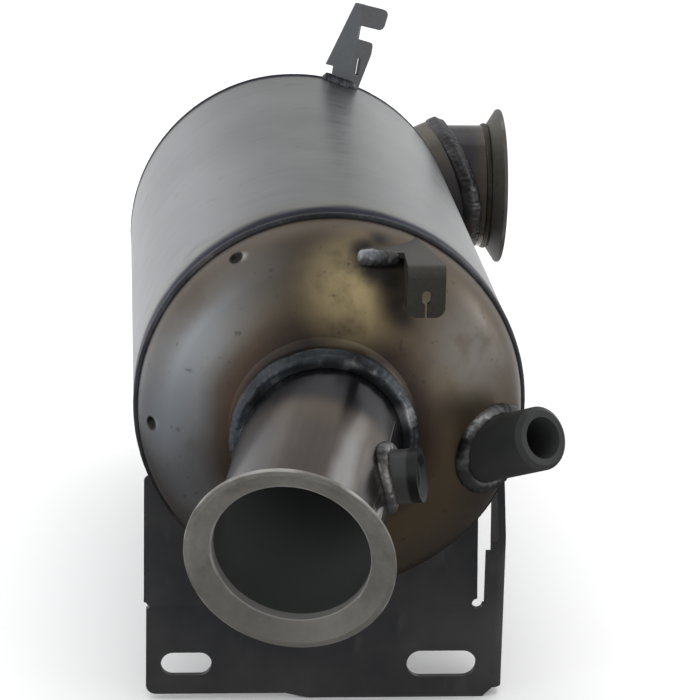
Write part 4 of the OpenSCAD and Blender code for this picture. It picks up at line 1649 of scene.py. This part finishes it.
    def metals(self) -> dict[Beads, WeldMetal]:
        """The finish of each kind of weld."""
        return {
            Beads.NECK: WeldMetal(
                "neck_weld",
                (0.024, 0.027, 0.030),
                (0.058, 0.066, 0.074),
                (0.32, 0.32, 0.33),
                0.3,
                # Painted highlights on the neck bead's left and right.
                (((0.0072, -0.0683, 0.1479), 0.005), ((0.0278, -0.0690, 0.1291), 0.007)),
            ),
            Beads.FEED: WeldMetal(
                "feed_weld", (0.040, 0.039, 0.040), (0.105, 0.106, 0.112), (0.34, 0.34, 0.36), 0.4
            ),
            Beads.SEAM: WeldMetal(
                "seam_weld", (0.020, 0.020, 0.022), (0.046, 0.047, 0.052), (0.12, 0.12, 0.12), 0.3
            ),
            Beads.BUTT: WeldMetal(
                "butt_weld", (0.040, 0.035, 0.030), (0.080, 0.069, 0.058), (0.16, 0.14, 0.12), 0.3
            ),
            Beads.HAND: WeldMetal(
                "hand_weld",
                (0.034, 0.034, 0.036),
                (0.085, 0.086, 0.090),
                (0.44, 0.44, 0.45),
                0.8,
                # Painted highlights on the upper left of the tube's bead and on the boss's bead.
                (
                    ((0.0509, -0.0449, 0.1111), 0.014),
                    ((0.0615, -0.0450, 0.1234), 0.012),
                    ((0.0145, -0.1020, 0.1170), 0.020),
                ),
            ),
            Beads.STITCH: WeldMetal(
                "stitch_weld",
                (0.030, 0.033, 0.040),
                (0.084, 0.091, 0.104),
                (0.34, 0.37, 0.41),
                0.4,
                # Painted highlight at the stitch's left end.
                (((0.0128, -0.0388, 0.1862), 0.009),),
            ),
        }

    def build(self) -> None:
        """Makes the weld finishes, then lays every bead."""
        finishes = {tone: metal.build() for tone, metal in self.metals().items()}
        tree = ripple_tree()
        for bead in self.beads():
            piece = bead.build(tree, finishes[bead.tone])
            LOG.info("laid %s with %d points", piece.name, len(piece.data.vertices))


# Flanges


@dataclass
class ClampFlange:
    """A clamp flange with a thin lip and rounded edges, turned round its pipe's axis."""

    node: str
    slot: str
    face: Spindle
    pipe: float
    rim: float
    wall: float = 1.5 * MM
    length: float = 8.0 * MM
    lip: float = 1.7 * MM
    cone: float = 5.2 * MM
    dish: float = 4.3 * MM
    land: float = 2.2 * MM
    edge: float = 0.5 * MM
    support: float = 0.3 * MM
    arc_steps: int = 4
    steps: int = 192
    sharp: float = math.radians(35.0)

    def corners(self) -> list[tuple[Vector, bool]]:
        """Corners of the section, by radius and height from the face, and which are round."""
        bore = self.pipe - self.wall
        return [
            (Vector((bore, -self.length)), False),
            (Vector((self.pipe, -self.length)), False),
            (Vector((self.pipe, -self.lip - self.cone)), True),
            (Vector((self.rim, -self.lip)), True),
            (Vector((self.rim, 0.0)), True),
            (Vector((self.rim - self.land, 0.0)), True),
            (Vector((bore, -self.dish)), True),
        ]

    def section(self) -> list[Vector]:
        """Rounds the section's corners.

        Returns:
            The section's points in order, with a support point on each side of every round.
        """
        corners = self.corners()
        points: list[Vector] = []
        for i, (corner, is_round) in enumerate(corners):
            if not is_round:
                points.append(corner)
                continue
            before = (corners[i - 1][0] - corner).normalized()
            after = (corners[(i + 1) % len(corners)][0] - corner).normalized()
            half = before.angle(after) / 2
            reach = self.edge / math.tan(half)
            middle = corner + (before + after).normalized() * (self.edge / math.sin(half))
            start = corner + before * reach - middle
            end = corner + after * reach - middle
            points.append(corner + before * (reach + self.support))
            for k in range(self.arc_steps + 1):
                spoke = start.lerp(end, k / self.arc_steps).normalized()
                points.append(middle + spoke * self.edge)
            points.append(corner + after * (reach + self.support))
        return points

    def build(self, finish: bpy.types.Material) -> bpy.types.Object:
        """Turns the section round the axis and seats the flange in place of its solid.

        Args:
            finish: the flange's material.

        Returns:
            The finished piece.
        """
        section, n = self.section(), self.steps
        points = [self.face.point(math.tau * i / n, p.x, p.y) for i in range(n) for p in section]
        piece = closed_piece("turned_" + self.node, points, ring_faces(n, len(section)), {})
        piece.data.shade_smooth()
        piece.data.set_sharp_from_angle(angle=self.sharp)
        piece.data.materials.append(finish)
        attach(piece, BODY)
        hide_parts(self.node)
        return piece


# Dressing of the solids


@dataclass
class SteelWork:
    """Turns the flanges and dresses the solids that show as they are."""

    canister: Canister
    welds: WeldSet
    outlet_rim: float = 39.0 * MM
    inlet_rim: float = 38.0 * MM
    outlet_weld: float = -70.5 * MM
    inlet_weld: float = 84.0 * MM

    def bored(self, name: str) -> tuple[Spindle, float, float]:
        """The axis of a threaded bore from its middle, its radius and where it ends."""
        middle, along, radius, length = mount(name)
        return Spindle.through(middle, along), radius, length / 2

    def flanges(self) -> None:
        """Turns both clamp flanges."""
        welds = self.welds
        outlet = ClampFlange(
            "outlet_flange", "flange_steel", welds.outlet(), welds.outlet_pipe, self.outlet_rim
        )
        ring = TurnedRing(
            "outlet_flange_steel",
            welds.outlet(),
            mount("outlet_bore")[2],
            self.outlet_rim,
            (0.120, 0.114, 0.102),
            (0.200, 0.190, 0.172),
            (0.420, 0.415, 0.400),
        )
        inlet = ClampFlange(
            "inlet_flange", "inlet_steel", welds.inlet_face(), welds.inlet_pipe, self.inlet_rim
        )
        feed_ring = TurnedRing(
            "inlet_flange_steel",
            welds.inlet(),
            mount("inlet_bore")[2],
            self.inlet_rim,
            (0.062, 0.057, 0.050),
            (0.125, 0.116, 0.103),
            (0.210, 0.205, 0.195),
        )
        for flange, finish in ((outlet, ring), (inlet, feed_ring)):
            piece = flange.build(finish.build())
            LOG.info("seated %s with %d points", piece.name, len(piece.data.vertices))

    def sheets(self) -> dict[str, Finish]:
        """The finishes of the shell, the caps and the brackets, by node name."""
        rear_seam = self.canister.seam.y + self.canister.length
        return {
            "canister_shell": RolledShell(
                "shell_steel", self.canister, (0.185, 0.195, 0.202), (0.300, 0.315, 0.322)
            ),
            "outlet_end_cap": TintedDome("outlet_dome_steel", self.canister),
            "inlet_end_cap": RolledSteel(
                "inlet_dome_steel",
                (0.095, 0.084, 0.068),
                (0.190, 0.176, 0.154),
                (0.3, 0.46),
                seam=rear_seam,
            ),
            "foot_bracket": BlackSteel(
                "bracket_black", (0.017, 0.018, 0.021), (0.045, 0.043, 0.043)
            ),
            "cap_bracket": RolledSteel(
                "tab_steel", (0.046, 0.044, 0.039), (0.092, 0.086, 0.077), (0.38, 0.55)
            ),
            "rear_bracket": RolledSteel(
                "clip_steel", (0.062, 0.064, 0.067), (0.130, 0.134, 0.140), (0.36, 0.52)
            ),
            "foot_bracket_weld": WeldMetal(
                "tack_weld", (0.030, 0.031, 0.033), (0.080, 0.082, 0.086), (0.2, 0.2, 0.2), 0.4
            ),
        }

    def tubes(self) -> dict[str, Finish]:
        """The finishes of the pipes, the sensor tube and the boss, by node name."""
        return {
            "outlet_pipe": TintedPipe(
                "outlet_pipe_steel",
                self.welds.outlet(),
                mount("outlet_bore")[2],
                self.outlet_weld,
                (0.092, 0.080, 0.074),
                (0.160, 0.144, 0.136),
                lines=(2.75, 2.98),
                # Painted reflections: a dark band in the middle, a bluish band to the left, a
                # bright highlight and a dark band to the right.
                reflection_bands=(
                    (1.75, 0.55, (0.058, 0.047, 0.042)),
                    (1.02, 0.25, (0.098, 0.099, 0.105)),
                    (2.62, 0.30, (0.044, 0.043, 0.044)),
                    (2.17, 0.23, (0.330, 0.324, 0.320)),
                ),
            ),
            "inlet_pipe": TintedPipe(
                "inlet_pipe_steel",
                self.welds.inlet(),
                mount("inlet_bore")[2],
                self.inlet_weld,
                (0.060, 0.047, 0.035),
                (0.108, 0.087, 0.066),
                metallic=0.6,
            ),
            "sensor_tube": BlackSteel(
                "tube_black",
                (0.020, 0.022, 0.021),
                (0.040, 0.041, 0.040),
                gloss=0.18,
                tube=self.bored("tube_thread"),
            ),
            "sensor_boss": BlackSteel(
                "boss_black",
                (0.022, 0.023, 0.025),
                (0.044, 0.044, 0.045),
                tube=self.bored("boss_thread"),
            ),
        }

    def filling(self) -> dict[str, Finish]:
        """The finishes of what the canister holds, by node name."""
        return {
            "filter_segments": FilterFace(
                "filter_cells", (0.10, 0.098, 0.094), (0.018, 0.018, 0.018)
            ),
            "filter_cement": FibreMat("filter_cement", (0.16, 0.155, 0.145), (0.24, 0.235, 0.22)),
            "support_mat": FibreMat("support_mat", (0.42, 0.40, 0.34), (0.62, 0.59, 0.52)),
        }

    def build(self) -> None:
        """Turns the flanges, then gives each solid its finish."""
        self.flanges()
        for name, finish in (self.sheets() | self.tubes() | self.filling()).items():
            material = finish.build()
            mesh = frame["nodes"][name].data
            mesh.materials.clear()
            mesh.materials.append(material)
            LOG.info("dressed %s in %s", name, material.name)


# Studio


@dataclass(frozen=True)
class Lamp:
    """A soft box: where it stands, what it faces, how wide it is and how bright."""

    name: str
    place: Triple
    facing: Triple
    width: float
    watts: float
    tint: Colour = (1.0, 1.0, 1.0)
    shines: bool = True

    def build(self) -> None:
        """Adds the lamp to the scene."""
        data = bpy.data.lights.new(self.name, "AREA")
        data.shape = "SQUARE"
        data.size = self.width
        data.energy = self.watts
        data.color = self.tint
        lamp = bpy.data.objects.new(self.name, data)
        lamp.location = self.place
        lamp.visible_glossy = self.shines
        toward = Vector(self.facing) - Vector(self.place)
        lamp.rotation_euler = toward.to_track_quat("-Z", "Y").to_euler()
        bpy.context.scene.collection.objects.link(lamp)


def lying(x0: float, y0: float, x1: float, y1: float, z: float) -> list[Triple]:
    """Corners of a level sheet."""
    return [(x0, y0, z), (x1, y0, z), (x1, y1, z), (x0, y1, z)]


def upright(x0: float, x1: float, y: float, z0: float, z1: float) -> list[Triple]:
    """Corners of a sheet that stands across the view."""
    return [(x0, y, z0), (x1, y, z0), (x1, y, z1), (x0, y, z1)]


@dataclass
class Studio:
    """The pale floor, the soft light, the cards that shape its reflections and the camera."""

    floor_height: float
    floor_size: float = 24.0
    card_lift: float = 1.0 * MM
    world_light: float = 1.0
    eye: Triple = (-0.08054, -1.15166, 0.47605)
    right: Triple = (0.99706, -0.07322, 0.02263)
    up: Triple = (-0.00092, 0.28385, 0.95886)
    forward: Triple = (0.07663, 0.95607, -0.28296)
    lens: float = 154.29
    sensor: float = 36.0

    def sheet(
        self, name: str, corners: Sequence[Triple], material: bpy.types.Material
    ) -> bpy.types.Object:
        """Adds a flat stage sheet.

        Args:
            name: its name.
            corners: its corners in order.
            material: its material.

        Returns:
            The object.
        """
        mesh = bpy.data.meshes.new(name)
        mesh.from_pydata(corners, [], [tuple(range(len(corners)))])
        mesh.materials.append(material)
        sheet = bpy.data.objects.new(name, mesh)
        bpy.context.scene.collection.objects.link(sheet)
        return sheet

    def floor(self) -> None:
        """Lays the pale floor that the bracket stands on."""
        material = bpy.data.materials.new("pale_floor")
        material.use_nodes = True
        shader = material.node_tree.nodes["Principled BSDF"]
        shader.inputs["Base Color"].default_value = (0.99, 0.99, 0.99, 1.0)
        shader.inputs["Roughness"].default_value = 0.9
        shader.inputs["Specular IOR Level"].default_value = 0.0
        half = self.floor_size / 2
        self.sheet("floor", lying(-half, -half, half, half, self.floor_height), material)

    def card(self, name: str, corners: Sequence[Triple], shade: Colour) -> None:
        """Hangs a card that only reflections see.

        Args:
            name: its name.
            corners: its corners in order.
            shade: its colour, dark or bright.
        """
        material = bpy.data.materials.new(name)
        material.use_nodes = True
        tree = material.node_tree
        tree.nodes.clear()
        glow = tree.nodes.new("ShaderNodeEmission")
        glow.inputs["Color"].default_value = (*shade, 1.0)
        out = tree.nodes.new("ShaderNodeOutputMaterial")
        tree.links.new(glow.outputs[0], out.inputs["Surface"])
        card = self.sheet(name, corners, material)
        card.visible_camera = False
        card.visible_diffuse = False
        card.visible_shadow = False
        card.visible_transmission = False

    def world(self) -> None:
        """Sets a plain world that is white where it is seen or reflected."""
        world = bpy.data.worlds.new("studio")
        bpy.context.scene.world = world
        world.use_nodes = True
        tree = world.node_tree
        background = tree.nodes["Background"]
        background.inputs["Color"].default_value = (1.0, 1.0, 1.0, 1.0)
        rays = tree.nodes.new("ShaderNodeLightPath")
        seen = tree.nodes.new("ShaderNodeMath")
        seen.operation = "MAXIMUM"
        tree.links.new(rays.outputs["Is Camera Ray"], seen.inputs[0])
        tree.links.new(rays.outputs["Is Glossy Ray"], seen.inputs[1])
        clear = tree.nodes.new("ShaderNodeMath")
        clear.operation = "MAXIMUM"
        tree.links.new(seen.outputs[0], clear.inputs[0])
        tree.links.new(rays.outputs["Is Transmission Ray"], clear.inputs[1])
        level = tree.nodes.new("ShaderNodeMapRange")
        level.inputs["To Min"].default_value = self.world_light
        level.inputs["To Max"].default_value = 1.0
        tree.links.new(clear.outputs[0], level.inputs["Value"])
        tree.links.new(level.outputs["Result"], background.inputs["Strength"])

    def camera(self) -> None:
        """Places the camera at the photograph's angle."""
        data = bpy.data.cameras.new("camera")
        data.lens = self.lens
        data.sensor_width = self.sensor
        data.clip_start = 0.01
        data.clip_end = 50.0
        camera = bpy.data.objects.new("camera", data)
        back = -Vector(self.forward)
        turn = Matrix((self.right, self.up, back)).transposed().to_4x4()
        camera.matrix_world = Matrix.Translation(self.eye) @ turn
        bpy.context.scene.collection.objects.link(camera)
        bpy.context.scene.camera = camera

    def lamps(self) -> None:
        """Places the soft boxes."""
        left = Lamp("left_box", (-1.6, -1.2, 0.70), (0.0, 0.0, 0.12), 1.1, 4.4, (0.82, 0.93, 1.0))
        top = Lamp("top_box", (0.0, -0.3, 2.6), (0.0, -0.2, 0.0), 2.0, 18.0, shines=False)
        right = Lamp("right_box", (1.8, 0.2, 0.8), (0.0, 0.1, 0.12), 0.7, 4.0)
        for lamp in (left, top, right):
            lamp.build()

    def cards(self) -> None:
        """Hangs the cards."""
        z = self.floor_height + self.card_lift
        self.card("floor_card", lying(-0.28, -1.8, 0.55, 0.30, z), (0.13, 0.125, 0.12))
        self.card("left_card", lying(-1.5, -1.2, -0.30, 0.5, z), (0.62, 0.69, 0.79))
        self.card("front_card", upright(-0.8, 1.5, -1.9, z, 1.7), (0.22, 0.21, 0.20))
        self.card("top_card", lying(-0.7, -1.9, 1.0, 0.5, 1.7), (0.36, 0.36, 0.36))
        self.card("back_card", upright(-0.7, 0.7, 3.0, 0.35, 3.0), (0.6, 0.6, 0.59))

    def build(self) -> None:
        """Sets up the whole studio."""
        bpy.context.scene.view_settings.view_transform = "Standard"
        self.world()
        self.floor()
        self.camera()
        self.lamps()
        self.cards()


def main() -> None:
    """Builds the looks in order and reports each piece."""
    logging.basicConfig(level=logging.INFO, format="%(message)s")
    canister = Canister.from_frame()
    welds = WeldSet(canister)
    SteelWork(canister, welds).build()
    welds.build()
    Studio(CAD_BOX[0].z).build()


if __name__ == "__main__":
    main()
